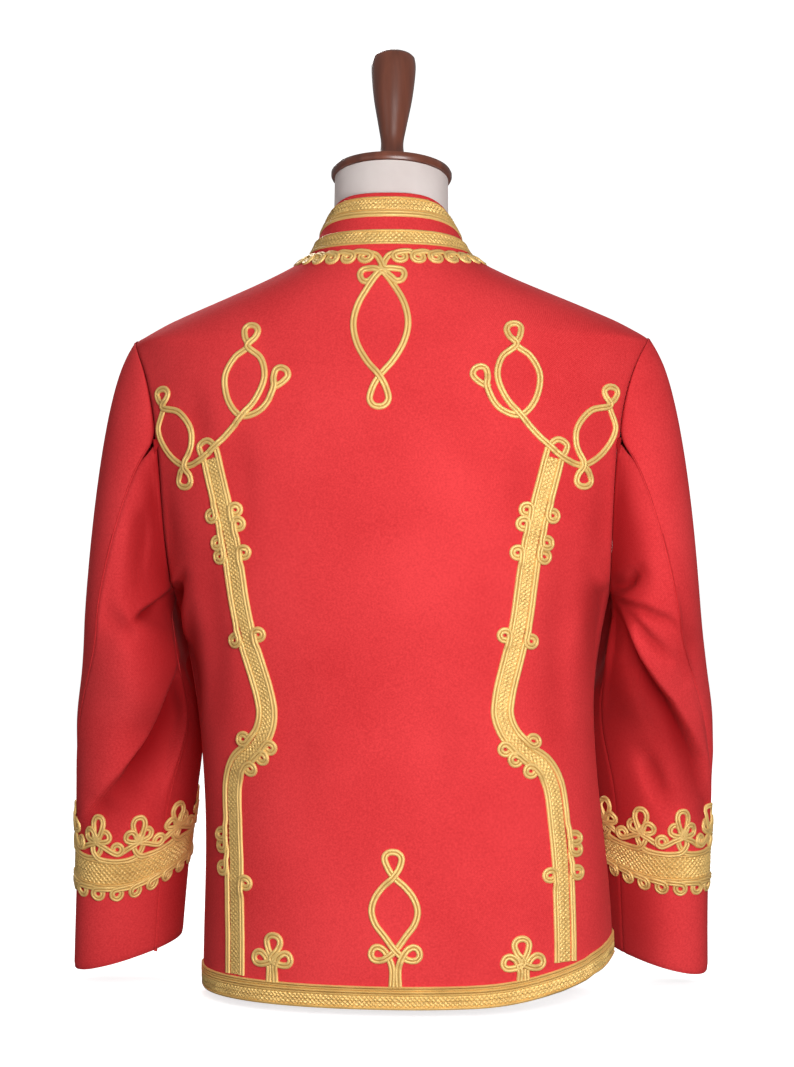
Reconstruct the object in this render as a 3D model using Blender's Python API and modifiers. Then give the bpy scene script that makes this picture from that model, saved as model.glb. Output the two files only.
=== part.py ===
"""Braided military jacket on a limbless dress form.

The jacket is cut as a back, two lapped fronts, two-piece sleeves and a stand collar, with gold braid
sewn on it.
Metres, +Z up. The jacket's front faces -Y, the wearer's left is +X, and the form stands on z = 0.
"""

import math

import bmesh
import bpy
import numpy as np

# Walls, braid and gaps
CLOTH = 0.0018
SEAM = 0.0003
BRAID_LIFT = 0.0009
CORD_WIDTH = 0.0050
CORD_HEIGHT = 0.0012
BAND_HEIGHT = 0.0014
CROSS_GAP = 0.0008

# Heights of the cut
ARMPIT = 0.365
SHOULDER_TIP = 0.597
NECK_BACK = 0.668
NECK_DROP = 0.050
ARMHOLE_BITE = math.radians(15)
ARMHOLE_STEPS = 9
LAP_WIDTH = 0.018
LAP_RISE = CLOTH + 0.0010
CENTRE_SHIFT = (-0.0037, 0.0023, 0)

# Level sections of the body, from below the hem to the neck, and the shoulder ridge that cuts them off
BODY_COLUMNS = ("height", "half_width", "back", "front", "sway", "power")
BODY_ROWS = (
    (0.000, 0.188, 0.124, 0.120, -0.015, 2.30),
    (0.060, 0.187, 0.123, 0.120, -0.015, 2.30),
    (0.130, 0.183, 0.118, 0.118, -0.013, 2.30),
    (0.200, 0.180, 0.114, 0.116, -0.008, 2.30),
    (0.260, 0.181, 0.113, 0.117, -0.003, 2.30),
    (0.315, 0.188, 0.117, 0.121, -0.001, 2.30),
    (0.365, 0.199, 0.121, 0.123, 0.000, 2.30),
    (0.430, 0.214, 0.123, 0.121, 0.000, 2.25),
    (0.500, 0.226, 0.119, 0.112, 0.000, 2.20),
    (0.560, 0.234, 0.109, 0.097, 0.000, 2.10),
    (0.597, 0.239, 0.100, 0.086, 0.000, 2.00),
    (0.632, 0.243, 0.090, 0.075, 0.000, 2.00),
    (0.655, 0.245, 0.083, 0.070, 0.000, 2.00),
    (0.668, 0.246, 0.077, 0.066, 0.000, 2.00),
)
RIDGE_COLUMNS = ("height", "half_width")
RIDGE_ROWS = ((0.580, 0.280), (0.597, 0.239), (0.632, 0.155), (0.655, 0.099), (0.668, 0.075))
RIDGE_ROUND = 0.005

# Height of the hem by the angle round the body: it hangs a little higher on the wearer's right
HEM_COLUMNS = ("turn", "height")
HEM_ROWS = (
    (-180, 0.034),
    (-130, 0.044),
    (-95, 0.041),
    (-75, 0.032),
    (-57, 0.019),
    (-38, 0.0095),
    (0, 0.008),
    (95, 0.009),
    (140, 0.020),
    (180, 0.034),
)

# Level sections of the wearer's left sleeve, from the armpit to the cuff
SLEEVE_COLUMNS = ("height", "across", "along", "wide", "deep", "yaw", "cuff_slope")
SLEEVE_ROWS = (
    (0.345, 0.2413, -0.002, 0.0405, 0.0660, 0, 0.000),
    (0.290, 0.2392, -0.012, 0.0490, 0.0600, 10, 0.000),
    (0.235, 0.2362, -0.028, 0.0600, 0.0480, 26, 0.000),
    (0.190, 0.2387, -0.042, 0.0590, 0.0445, 29, 0.004),
    (0.140, 0.2418, -0.051, 0.0562, 0.0415, 30, 0.008),
    (0.100, 0.2437, -0.056, 0.0547, 0.0395, 31, 0.011),
    (0.026, 0.2475, -0.062, 0.0532, 0.0380, 32, 0.015),
)
SLEEVE_POWER = 2.15
SLEEVE_FORWARD = {"left": 0.0, "right": 0.024}
SLEEVE_SWING = 0.007
CAP_SHARE = 0.42
SLEEVE_STRETCHES = (0, 0.42, 0.75, 1)
SLEEVE_STEPS = (5, 9, 4)

# Where the two sleeve seams run, as angles round the sleeve from its outer side towards the back
SEAM_COLUMNS = ("share", "hind", "fore")
SEAM_ROWS = (
    (0.00, 80, 200),
    (0.12, 77, 198),
    (0.42, 62, 172),
    (0.60, 10, 120),
    (0.75, -24, 104),
    (1.00, -36, 103),
)

# Largest folds of the sleeve: the elbow's overhang, and a pinch below the back of the armhole
ELBOW_INNER = (0.187, 0.316)
ELBOW_OUTER = (0.277, 0.178)
ELBOW_DEPTH = 0.028
ELBOW_WIDTH = 0.020
FOLD_COLUMNS = ("share_from", "angle_from", "share_to", "angle_to", "width", "depth")
SLEEVE_FOLDS = (
    (0.31, 122, 0.45, 70, 0.014, -0.007),
    (0.37, 128, 0.55, 84, 0.018, 0.005),
)

# Stand collar
COLLAR_HEIGHT = 0.054
COLLAR_TOP_WIDTH = 0.0565
COLLAR_TOP_BACK = 0.0565
COLLAR_TOP_FRONT = 0.0600
COLLAR_SLOPE = 0.050
COLLAR_BANDS = (("collar_braid_upper", 0.60, 0.94), ("collar_braid_lower", 0.11, 0.36))

# Braid placed on the back, as (across from the centre back, height)
SIDE_LINE = (
    (0.1505, 0.484),
    (0.1330, 0.412),
    (0.1214, 0.338),
    (0.1050, 0.276),
    (0.1034, 0.259),
    (0.1085, 0.243),
    (0.1216, 0.2265),
    (0.1340, 0.216),
    (0.1415, 0.199),
    (0.1445, 0.159),
    (0.1455, 0.100),
)
SIDE_FOOT = {"left": 0.032, "right": 0.047}
SIDE_BAND_WIDTH = 0.0080
SIDE_ARCH_RISE = 0.016
SIDE_EYELETS = {
    "outer": (0.430, 0.414, 0.400, 0.320, 0.233, 0.153, 0.137, 0.121),
    "inner": (0.436, 0.421, 0.406, 0.325, 0.232, 0.223, 0.2145, 0.115),
}
SMALL_EYELET = (0.0115, 0.0088)
LARGE_EYELET = (0.0190, 0.0125)

SCROLL_START = (0.093, 0.546)
SCROLL_BASE = (0.122, 0.521)
SCROLL_TOP = (0.118, 0.583)
SCROLL_WAIST = (0.176, 0.478)
SCROLL_OUTER_TOP = (0.199, 0.531)

NECK_CHAIN_DROP = 0.0075
NECK_CHAIN_STEP = 0.0150
HEM_BAND = (0.0006, 0.0196)
TREFOIL_ACROSS = 0.1095

# Cuff braid, as heights above the cuff's edge
CUFF_BAND = (0.086, 0.108)
CUFF_SAG = {"left": 0.016, "right": 0.005}
CUFF_SAG_TURN = math.radians(75)
CUFF_LOOPS = 18
CUFF_CROWNS = 8

# Dress form
FORM_COLUMNS = ("height", "inset")
FORM_ROWS = (
    (0.000, 0.062),
    (0.012, 0.056),
    (0.035, 0.036),
    (0.070, 0.026),
    (0.120, 0.019),
    (0.180, 0.014),
    (0.240, 0.011),
    (0.300, 0.010),
    (0.360, 0.009),
    (0.420, 0.009),
    (0.480, 0.008),
    (0.530, 0.008),
    (0.570, 0.009),
    (0.598, 0.009),
    (0.618, 0.007),
    (0.636, 0.006),
    (0.652, 0.006),
)
NECK_COLUMNS = ("height", "half_width", "half_depth", "lean", "tilt")
NECK_ROWS = (
    (0.642, 0.0650, 0.0620, 0.001, 20),
    (0.666, 0.0550, 0.0540, 0.000, 20),
    (0.699, 0.0528, 0.0530, -0.003, 15),
    (0.741, 0.0525, 0.0530, -0.007, 12),
)
CAP_RADIUS = 0.0552
CAP_THICK = 0.0085
BUTTON_RADIUS = 0.0100
BUTTON_HEIGHT = 0.0065
BUTTON_TOP = 0.588
BUTTON_STEP = 0.080
BUTTON_COUNT = 7

MATERIALS = {
    "red_cloth": ((0.62, 0.022, 0.028), 0.85, 0.0),
    "gold_braid": ((0.66, 0.38, 0.08), 0.45, 0.55),
    "form_linen": ((0.75, 0.68, 0.64), 0.9, 0.0),
    "dark_wood": ((0.10, 0.030, 0.016), 0.35, 0.0),
    "brass": ((0.72, 0.45, 0.14), 0.3, 0.95),
}


def clear_scene():
    for thing in list(bpy.data.objects):
        bpy.data.objects.remove(thing, do_unlink=True)


def make_material(name):
    colour, roughness, metallic = MATERIALS[name]
    material = bpy.data.materials.new(name)
    material.use_nodes = True
    shader = material.node_tree.nodes["Principled BSDF"]
    shader.inputs["Base Color"].default_value = (*colour, 1)
    shader.inputs["Roughness"].default_value = roughness
    shader.inputs["Metallic"].default_value = metallic
    return material


def table(columns, rows):
    return dict(zip(columns, np.array(rows, float).T))


BODY = table(BODY_COLUMNS, BODY_ROWS)
RIDGE = table(RIDGE_COLUMNS, RIDGE_ROWS)
HEM = table(HEM_COLUMNS, HEM_ROWS)
SLEEVE = table(SLEEVE_COLUMNS, SLEEVE_ROWS[::-1])
SEAMS = table(SEAM_COLUMNS, SEAM_ROWS)


def smooth(at, known, values):
    """Values between known places, by cubics that never overshoot."""
    at = np.clip(at, known[0], known[-1])
    steps = np.diff(known)
    slopes = np.diff(values) / steps
    rising = slopes[:-1] * slopes[1:] > 0
    total = np.where(rising, slopes[:-1] + slopes[1:], 1)
    inner = np.where(rising, 2 * slopes[:-1] * slopes[1:] / total, 0)
    tangents = np.concatenate([slopes[:1], inner, slopes[-1:]])
    i = np.clip(np.searchsorted(known, at, side="right") - 1, 0, len(steps) - 1)
    t = (at - known[i]) / steps[i]
    return (
        values[i] * (1 + 2 * t) * (1 - t) ** 2
        + values[i + 1] * t * t * (3 - 2 * t)
        + steps[i] * (tangents[i] * t * (1 - t) ** 2 - tangents[i + 1] * t * t * (1 - t))
    )


def ease(t):
    t = np.clip(t, 0, 1)
    return t * t * (3 - 2 * t)


def unit(vectors):
    return vectors / np.maximum(np.linalg.norm(vectors, axis=-1, keepdims=True), 1e-12)


# The body of the jacket

def section(turn, height, inset=0.0):
    """A point on the level section, by its angle from the centre back towards the wearer's left."""
    row = {name: smooth(height, BODY["height"], BODY[name]) for name in BODY_COLUMNS[1:]}
    over = row["half_width"] - smooth(height, RIDGE["height"], RIDGE["half_width"])
    wide = row["half_width"] - RIDGE_ROUND * np.log1p(np.exp(over / RIDGE_ROUND)) - inset
    s, c = np.sin(turn), np.cos(turn)
    deep = np.where(c > 0, row["back"], row["front"]) - inset
    power = row["power"]
    reach = (np.abs(s / wide) ** power + np.abs(c / deep) ** power) ** (-1 / power)
    return np.stack(np.broadcast_arrays(row["sway"] + reach * s, reach * c, height), axis=-1)


def normals_of(surface, first, second, step=1e-4):
    """Outward normals of a surface, where its second direction crossed with its first points out."""
    along = surface(first + step, second) - surface(first - step, second)
    up = surface(first, second + step) - surface(first, second - step)
    return unit(np.cross(up, along))


def body_point(turn, height, lift=0.0):
    """A point on the cloth's outer side, moved out by lift. The left front rises where it laps."""
    turn, height = np.broadcast_arrays(np.asarray(turn, float), np.asarray(height, float))
    normal = normals_of(section, turn, height)
    rise = LAP_RISE * ease((np.degrees(turn) - 146) / 24)
    return section(turn, height) + normal * (rise + lift)[..., None]


def hem_height(turn):
    return smooth(np.degrees(turn), HEM["turn"], HEM["height"])


def neck_height(turn):
    """The neckline is level over the back and falls towards the centre front."""
    return NECK_BACK - NECK_DROP * ease((np.abs(np.degrees(turn)) - 90) / 90)


def armhole_share(height):
    """How far the armhole bites into the panels: an oval from the armpit to the shoulder tip."""
    q = np.clip((height - ARMPIT) / (SHOULDER_TIP - ARMPIT), 0, 1)
    return 2 * np.sqrt(q * (1 - q))


def body_rows():
    """Rows of a panel as shares of three stretches: to the armpit, beside the armhole, over the shoulder."""
    low = np.linspace(0, 1, 8)[:-1]
    middle = (1 - np.cos(np.linspace(0, math.pi, ARMHOLE_STEPS + 1)[:-1])) / 2
    high = np.linspace(0, 1, 5)
    return low, middle, high


def body_panel_grid(edges, columns):
    """Angles and heights over one panel, between two edge functions, from the hem to the neckline."""
    share = np.linspace(0, 1, columns + 1)
    low, middle, high = body_rows()
    turns, heights = [], []
    for stretch, rows in enumerate((low, middle, high)):
        for row in rows:
            level = (ARMPIT, ARMPIT + (SHOULDER_TIP - ARMPIT) * row, SHOULDER_TIP)[stretch]
            first, last = (edge(level) for edge in edges)
            turn = first + (last - first) * share
            if stretch == 0:
                height = hem_height(turn) + (ARMPIT - hem_height(turn)) * row
            elif stretch == 1:
                height = np.full_like(turn, level)
            else:
                height = SHOULDER_TIP + (neck_height(turn) - SHOULDER_TIP) * row
            turns.append(turn)
            heights.append(height)
    return np.array(turns), np.array(heights)


def seam_angle(height):
    return SEAM / 2 / np.linalg.norm(section(math.pi / 2, height)[..., :2], axis=-1)


def back_edge(height):
    return math.pi / 2 - ARMHOLE_BITE * armhole_share(height) - seam_angle(height)


def front_edge(height):
    return math.pi / 2 + ARMHOLE_BITE * armhole_share(height) + seam_angle(height)


def lap_edge(height):
    return math.pi + LAP_WIDTH / np.linalg.norm(section(math.pi, height)[..., :2], axis=-1)


BODY_PANELS = (
    ("back", (lambda z: -back_edge(z), back_edge), 14),
    ("front_left", (front_edge, lap_edge), 9),
    ("front_right", (lambda z: -math.pi, lambda z: -front_edge(z)), 8),
)


# The sleeves, worked out on the wearer's left and mirrored for the right

def armhole_point(angle, reach=3 * SEAM):
    """Angle and height of a point on the armhole, clear of the panels, by the angle round the sleeve."""
    height = (ARMPIT + SHOULDER_TIP) / 2 + ((SHOULDER_TIP - ARMPIT) / 2 - reach) * np.cos(angle)
    turn = math.pi / 2 - (ARMHOLE_BITE - reach / 0.3) * np.sin(angle)
    return turn, height


def sleeve_ring(angle, height):
    """A point on the sleeve's level section, before folds."""
    row = {name: smooth(height, SLEEVE["height"], SLEEVE[name]) for name in SLEEVE_COLUMNS[1:]}
    c, s = np.cos(angle), np.sin(angle)
    bow = (np.abs(c) ** SLEEVE_POWER + np.abs(s) ** SLEEVE_POWER) ** (-1 / SLEEVE_POWER)
    out, rear = row["wide"] * bow * c, row["deep"] * bow * s
    yaw = np.radians(row["yaw"])
    x = row["across"] + out * np.cos(yaw) - rear * np.sin(yaw)
    y = row["along"] + out * np.sin(yaw) + rear * np.cos(yaw)
    return np.stack(np.broadcast_arrays(x, y, height - row["cuff_slope"] * c), axis=-1)


def elbow_overhang(angle, points):
    """How far the cloth below the elbow's slanting fold lies in from the bulge above it."""
    x, z = points[..., 0], points[..., 2]
    share = np.clip((x - ELBOW_INNER[0]) / (ELBOW_OUTER[0] - ELBOW_INNER[0]), 0, 1.1)
    edge = ELBOW_INNER[1] + (ELBOW_OUTER[1] - ELBOW_INNER[1]) * share
    under = ease((edge - z) / (ELBOW_WIDTH * (0.6 + share))) * ease((z - 0.165) / 0.075)
    return ELBOW_DEPTH * (1 - 0.75 * share) * under * np.maximum(np.sin(angle), 0)


def fold_lift(share, angle):
    """Ridges and troughs of the sleeve's large folds, as a lift along the normal."""
    lift = np.zeros(np.broadcast(share, angle).shape)
    scale = 0.065
    length = 0.60
    for row in SLEEVE_FOLDS:
        fold = dict(zip(FOLD_COLUMNS, row))
        start = np.array([fold["share_from"] * length, math.radians(fold["angle_from"]) * scale])
        end = np.array([fold["share_to"] * length, math.radians(fold["angle_to"]) * scale])
        run = end - start
        px, py = share * length - start[0], angle * scale - start[1]
        t = np.clip((px * run[0] + py * run[1]) / (run @ run), 0, 1)
        gap = np.hypot(px - t * run[0], py - t * run[1])
        fade = np.sin(math.pi * (0.15 + 0.7 * t))
        lift = lift + fold["depth"] * np.exp(-((gap / fold["width"]) ** 2)) * fade
    return lift


def sleeve_base(angle, share):
    """The sleeve's outer side before folds, by the angle round it and the share of its length."""
    angle, share = np.broadcast_arrays(np.asarray(angle, float), np.asarray(share, float))
    top, cuff = SLEEVE["height"][-1], SLEEVE["height"][0]
    tube = sleeve_ring(angle, top + (cuff - top) * np.clip((share - CAP_SHARE) / (1 - CAP_SHARE), 0, 1.02))
    w = np.clip(share / CAP_SHARE, 0, 1)[..., None]
    seat = section(*armhole_point(angle))
    seat[..., 0] += 3 * SEAM * np.maximum(np.cos(angle), 0)
    ring = sleeve_ring(angle, np.full_like(angle, top))
    span = np.linalg.norm(ring - seat, axis=-1, keepdims=True)
    drop = -0.75 - 0.15 * (1 - np.cos(angle))
    leave = unit(np.stack([np.ones_like(angle), 0.25 * np.sin(angle), drop], axis=-1)) * span * 0.35
    arrive = unit(np.array([0.05, 0, -1])) * span
    cap = (
        seat * (1 + 2 * w) * (1 - w) ** 2
        + ring * w * w * (3 - 2 * w)
        + leave * w * (1 - w) ** 2
        - arrive * w * w * (1 - w)
    )
    points = np.where(w < 1, cap, tube)
    points[..., 1] -= elbow_overhang(angle, points) * (share > CAP_SHARE)
    return points


def sleeve_point(angle, share, lift=0.0):
    angle, share = np.broadcast_arrays(np.asarray(angle, float), np.asarray(share, float))
    normal = normals_of(sleeve_base, angle, share)
    return sleeve_base(angle, share) + normal * (fold_lift(share, angle % (2 * math.pi)) + lift)[..., None]


def to_side(points, side):
    """Moves what was worked out for the wearer's left to one side.

    The right forearm hangs further forward, and both cuffs swing a little to the wearer's left.
    """
    moved = points * (1 if side == "left" else -1, 1, 1)
    moved[..., 0] += SLEEVE_SWING * ease((0.30 - points[..., 2]) / 0.30)
    moved[..., 1] -= SLEEVE_FORWARD[side] * ease((0.36 - points[..., 2]) / 0.18)
    return moved


def sleeve_panel_walls(first, last, columns):
    """Outer and inner points of a sleeve panel between two seams, each a column and whole turns added."""
    rows = np.arange(sum(SLEEVE_STEPS) + 1)
    share = np.interp(rows, np.cumsum((0, *SLEEVE_STEPS)), SLEEVE_STRETCHES)[:, None]
    edges = []
    for (name, turns), side in ((first, 1), (last, -1)):
        angle = np.radians(smooth(share, SEAMS["share"], SEAMS[name])) + 2 * math.pi * turns
        edges.append(angle + side * SEAM / 0.06)
    angle = edges[0] + (edges[1] - edges[0]) * np.linspace(0, 1, columns + 1)
    outer = sleeve_point(angle, share)
    inner = sleeve_point(angle, share, -CLOTH)
    seat = armhole_point(angle[0], reach=0)
    flat = ((1 + np.cos(angle[0])) / 2)[:, None]
    inward = normals_of(section, *seat) * flat + unit(outer[0] - inner[0]) * (1 - flat)
    inner[0] = outer[0] - CLOTH * unit(inward)
    return outer, inner


SLEEVE_PANELS = (
    ("under_sleeve", ("hind", 0), ("fore", 0), 6),
    ("top_sleeve", ("fore", 0), ("hind", 1), 12),
)


# The collar

def collar_point(turn, share, lift=0.0):
    """A point on the collar's outer side, from the neckline at share 0 to its top edge at 1."""
    turn, share = np.broadcast_arrays(np.asarray(turn, float), np.asarray(share, float))
    foot = section(turn, neck_height(turn))
    foot[..., 2] += 2 * SEAM
    s, c = np.sin(turn), np.cos(turn)
    deep = np.where(c > 0, COLLAR_TOP_BACK, COLLAR_TOP_FRONT)
    height = NECK_BACK + COLLAR_HEIGHT - COLLAR_SLOPE * ease((1 - c) / 2)
    top = np.stack([COLLAR_TOP_WIDTH * s, deep * c, height], axis=-1)
    base = foot + (top - foot) * share[..., None]
    out = unit(np.stack([s, c, np.full_like(s, 0.35)], axis=-1))
    return base + out * np.asarray(lift)[..., None]


# Laying braid on a surface: a path is drawn flat, in metres, and a place function puts it on the cloth

def place_on_back(flat, lift):
    """Flat points are (across from the centre back, height)."""
    turns = np.linspace(-1.45, 1.45, 400)
    turn = np.empty(len(flat))
    for i, (across, height) in enumerate(flat):
        ring = section(turns, np.full_like(turns, height))[:, 0]
        sway = section(0.0, np.asarray(height))[0]
        turn[i] = np.interp(across, ring - sway, turns)
    return body_point(turn, flat[:, 1], lift)


def place_at_neck(flat, lift):
    """Flat points are (run along the neckline from the centre back, drop below it along the cloth)."""
    turns = np.radians(np.linspace(-190, 190, 761))
    line = section(turns, neck_height(turns))
    run = np.concatenate([[0], np.cumsum(np.linalg.norm(np.diff(line, axis=0), axis=1))])
    run -= np.interp(0, turns, run)
    turn = np.interp(flat[:, 0], run, turns)
    level = neck_height(turn)
    step = 1e-3
    stretch = np.linalg.norm(section(turn, level) - section(turn, level - step), axis=1) / step
    return body_point(turn, level - flat[:, 1] / stretch, lift)


def cuff_share(height):
    """The share of the sleeve's length at this height above the cuff's edge."""
    return 1 - height / (SLEEVE["height"][-1] - SLEEVE["height"][0]) * (1 - CAP_SHARE)


def cuff_runs():
    """Angles round the sleeve, and the run along its girth at the cuff band, from the hind seam."""
    angles = math.radians(SEAM_ROWS[-1][1]) + np.linspace(0, 2 * math.pi, 721)
    ring = sleeve_point(angles, cuff_share(sum(CUFF_BAND) / 2))
    return angles, np.concatenate([[0], np.cumsum(np.linalg.norm(np.diff(ring, axis=0), axis=1))])


CUFF_ANGLES, CUFF_RUN = cuff_runs()


def cuff_place(flat, lift, side):
    """Flat points are (run round the sleeve from its hind seam, height above the cuff's edge).

    The braid sags where the bent forearm turns its back to it.
    """
    angle = np.interp(flat[:, 0], CUFF_RUN, CUFF_ANGLES)
    height = flat[:, 1] - CUFF_SAG[side] * np.cos(angle - CUFF_SAG_TURN)
    return to_side(sleeve_point(angle, cuff_share(height), lift), side)


def place_on_left_cuff(flat, lift):
    return cuff_place(flat, lift, "left")


def place_on_right_cuff(flat, lift):
    return cuff_place(flat, lift, "right")


def smooth_line(points, per_span=8):
    """A curve through the points, with even bends where they are unevenly spaced."""
    points = np.array(points, float)
    gaps = np.sqrt(np.linalg.norm(np.diff(points, axis=0), axis=1))
    at = np.concatenate([[0], np.cumsum(gaps)])
    rates = np.gradient(points, at, axis=0)
    line = []
    for i in range(len(gaps)):
        t = np.linspace(0, 1, per_span, endpoint=False)[:, None]
        line.append(
            points[i] * (1 + 2 * t) * (1 - t) ** 2
            + points[i + 1] * t * t * (3 - 2 * t)
            + gaps[i] * (rates[i] * t * (1 - t) ** 2 - rates[i + 1] * t * t * (1 - t))
        )
    return np.concatenate([*line, points[-1:]])


def offset_line(line, distance):
    """The line moved sideways, to the left of its run."""
    along = unit(np.gradient(line, axis=0))
    return line + distance * np.stack([-along[:, 1], along[:, 0]], axis=1)


def eyelet(root, heading, size, hand):
    """A teardrop loop that leaves root round a line at heading, in degrees, and comes back to it."""
    length, width = size
    t = np.array([0.13, 0.28, 0.42, 0.58, 0.72, 0.87])
    ahead, aside = length * np.sin(math.pi * t), hand * width / 2 * np.sin(2 * math.pi * t)
    a = math.radians(heading)
    x = root[0] + ahead * math.cos(a) - aside * math.sin(a)
    z = root[1] + ahead * math.sin(a) + aside * math.cos(a)
    return list(zip(x, z))


def with_eyelets(line, where, side, size):
    """A run of cord with eyelets thrown out to one side of it, at the points with these indices."""
    path = []
    for i, point in enumerate(line):
        path.append(tuple(point))
        if i in where:
            along = line[min(i + 1, len(line) - 1)] - line[max(i - 1, 0)]
            heading = math.degrees(math.atan2(along[1], along[0]))
            path += eyelet(point, heading + 90 * side, size, side)
            path.append(tuple(point + 0.15 * along))
    return path


def evenly(line, step):
    """The curve with points at equal steps along it."""
    run = np.concatenate([[0], np.cumsum(np.linalg.norm(np.diff(line, axis=0), axis=1))])
    at = np.linspace(0, run[-1], math.ceil(run[-1] / step) + 1)
    return np.stack([np.interp(at, run, line[:, k]) for k in range(2)], axis=1)


def few_of(line, sag=0.0012, most_run=0.030):
    """Indices of the few points of an even line whose chords stay near it."""
    along = np.diff(line, axis=0)
    runs = np.linalg.norm(along, axis=1)
    heading = np.unwrap(np.arctan2(along[:, 1], along[:, 0]))
    bend = np.abs(np.gradient(heading)) / runs
    used = runs * np.maximum(np.sqrt(bend / (8 * sag)), 1 / most_run)
    total = np.concatenate([[0], np.cumsum(used)])
    at = np.linspace(0, total[-1], max(3, math.ceil(total[-1]) + 1))
    return np.unique(np.round(np.interp(at, total, np.arange(len(line)))).astype(int))


LAID = {}


def ride_heights(points, surface, width):
    """Lifts that carry a cord over itself and over the cords laid before it on the same surface."""
    run = np.concatenate([[0], np.cumsum(np.linalg.norm(np.diff(points, axis=0), axis=1))])
    lifts = np.full(len(points), BRAID_LIFT)
    for i, point in enumerate(points):
        near = (np.linalg.norm(points[:i] - point, axis=1) < width) & (run[i] - run[:i] > 2.4 * width)
        tops = [lift - CROSS_GAP + SEAM for lift in lifts[:i][near]]
        for others, heights in LAID.get(surface, []):
            tops += list(heights[np.linalg.norm(others - point, axis=1) < 2 * width])
        if tops:
            lifts[i] = max(tops) + CORD_HEIGHT + CROSS_GAP
    LAID.setdefault(surface, []).append((points, lifts))
    return lifts


def flipped(path, mirror):
    """A flat path for the wearer's left, or for the right where mirror is -1."""
    return np.array(path) * (mirror, 1)


def cord(name, path, place, surface=None):
    """A cord with a flat foot and a ridge, laid along a path, over what was laid on the same surface."""
    line = evenly(smooth_line(path), 0.0015)
    full = ride_heights(line, surface or name, CORD_WIDTH)
    few = few_of(line)
    before, after = np.append(0, few[:-1]), np.append(few[1:], few[-1])
    lifts = np.array([full[a:b + 1].max() for a, b in zip(before, after)])
    points = line[few]
    foot = place(points, lifts)
    crest = place(points, lifts + CORD_HEIGHT)
    out = unit(crest - foot)
    side = unit(np.cross(out, np.gradient(foot, axis=0))) * CORD_WIDTH / 2
    rings = np.stack([foot + side, crest, foot - side], axis=1)
    return tube(name, rings, "gold_braid")


def band(name, place, lower, upper):
    """A flat band between two edges, each a line of flat points."""
    edges = [place(np.array(edge), np.full(len(edge), BRAID_LIFT)) for edge in (lower, upper)]
    tops = [place(np.array(edge), np.full(len(edge), BRAID_LIFT + BAND_HEIGHT)) for edge in (lower, upper)]
    return wall(name, np.stack(tops, axis=1), np.stack(edges, axis=1), "gold_braid")


# Solids

def finish_mesh(name, bm, material):
    bmesh.ops.recalc_face_normals(bm, faces=bm.faces[:])
    if bm.calc_volume(signed=True) < 0:
        bmesh.ops.reverse_faces(bm, faces=bm.faces[:])
    mesh = bpy.data.meshes.new(name)
    bm.to_mesh(mesh)
    bm.free()
    mesh.shade_smooth()
    mesh.set_sharp_from_angle(angle=math.radians(40))
    return add_object(name, mesh, material)


def add_object(name, mesh, material):
    thing = bpy.data.objects.new(name, mesh)
    mesh.materials.append(bpy.data.materials.get(material) or make_material(material))
    PARTS.objects.link(thing)
    thing.parent = ROOT
    return thing


def move_to_grid(verts, points):
    """Moves the vertices of a flat grid, from -1 to 1 both ways, to points in rows and columns."""
    rows, columns = points.shape[:2]
    for vert in verts:
        column = round((vert.co.x + 1) / 2 * (columns - 1))
        row = round((vert.co.y + 1) / 2 * (rows - 1))
        vert.co = points[row, column]


def wall(name, outer, inner, material):
    """A closed wall of cloth or braid: a grid for its outer side, extruded to its inner side."""
    rows, columns = outer.shape[:2]
    bm = bmesh.new()
    bmesh.ops.create_grid(bm, x_segments=columns - 1, y_segments=rows - 1, size=1)
    face_side = bm.verts[:]
    made = bmesh.ops.extrude_face_region(bm, geom=bm.faces[:], use_keep_orig=True)
    back_side = [item for item in made["geom"] if isinstance(item, bmesh.types.BMVert)]
    move_to_grid(face_side, outer)
    move_to_grid(back_side, inner)
    return finish_mesh(name, bm, material)


def tube(name, rings, material):
    """A closed solid through rings of points, with its two ends filled."""
    rings = np.concatenate([rings, rings[:, :1]], axis=1)
    rows, columns = rings.shape[:2]
    bm = bmesh.new()
    bmesh.ops.create_grid(bm, x_segments=columns - 1, y_segments=rows - 1, size=1)
    move_to_grid(bm.verts[:], rings)
    bmesh.ops.remove_doubles(bm, verts=bm.verts[:], dist=1e-6)
    bmesh.ops.holes_fill(bm, edges=bm.edges[:], sides=0)
    return finish_mesh(name, bm, material)


def turned(name, profile, material, location, tilt, steps=24):
    """A piece turned on its own Z axis from an outer profile that runs from top to bottom."""
    mesh = bpy.data.meshes.new(name)
    bm = bmesh.new()
    verts = [bm.verts.new((radius, 0, height)) for radius, height in profile]
    for first, second in zip(verts, verts[1:]):
        bm.edges.new((first, second))
    bm.to_mesh(mesh)
    bm.free()
    thing = add_object(name, mesh, material)
    screw = thing.modifiers.new("turn", "SCREW")
    screw.steps = screw.render_steps = steps
    screw.use_merge_vertices = True
    screw.merge_threshold = 1e-5
    thing.location = location
    thing.rotation_euler = (tilt, 0, 0)
    return thing


# Pieces of the jacket

def make_body():
    for name, edges, columns in BODY_PANELS:
        turn, height = body_panel_grid(edges, columns)
        wall(name, body_point(turn, height), body_point(turn, height, -CLOTH), "red_cloth")


def make_sleeves():
    for side in ("left", "right"):
        for name, first, last, columns in SLEEVE_PANELS:
            outer, inner = sleeve_panel_walls(first, last, columns)
            wall(f"{name}_{side}", to_side(outer, side), to_side(inner, side), "red_cloth")


def make_collar():
    turn = np.linspace(-math.pi + 0.008, math.pi - 0.008, 33)
    share = np.linspace(0, 1, 3)[:, None]
    wall("collar", collar_point(turn, share), collar_point(turn, share, -CLOTH), "red_cloth")
    for name, low, high in COLLAR_BANDS:
        share = np.array([[low], [high]])
        wall(
            name,
            collar_point(turn, share, BRAID_LIFT + BAND_HEIGHT),
            collar_point(turn, share, BRAID_LIFT),
            "gold_braid",
        )


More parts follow.
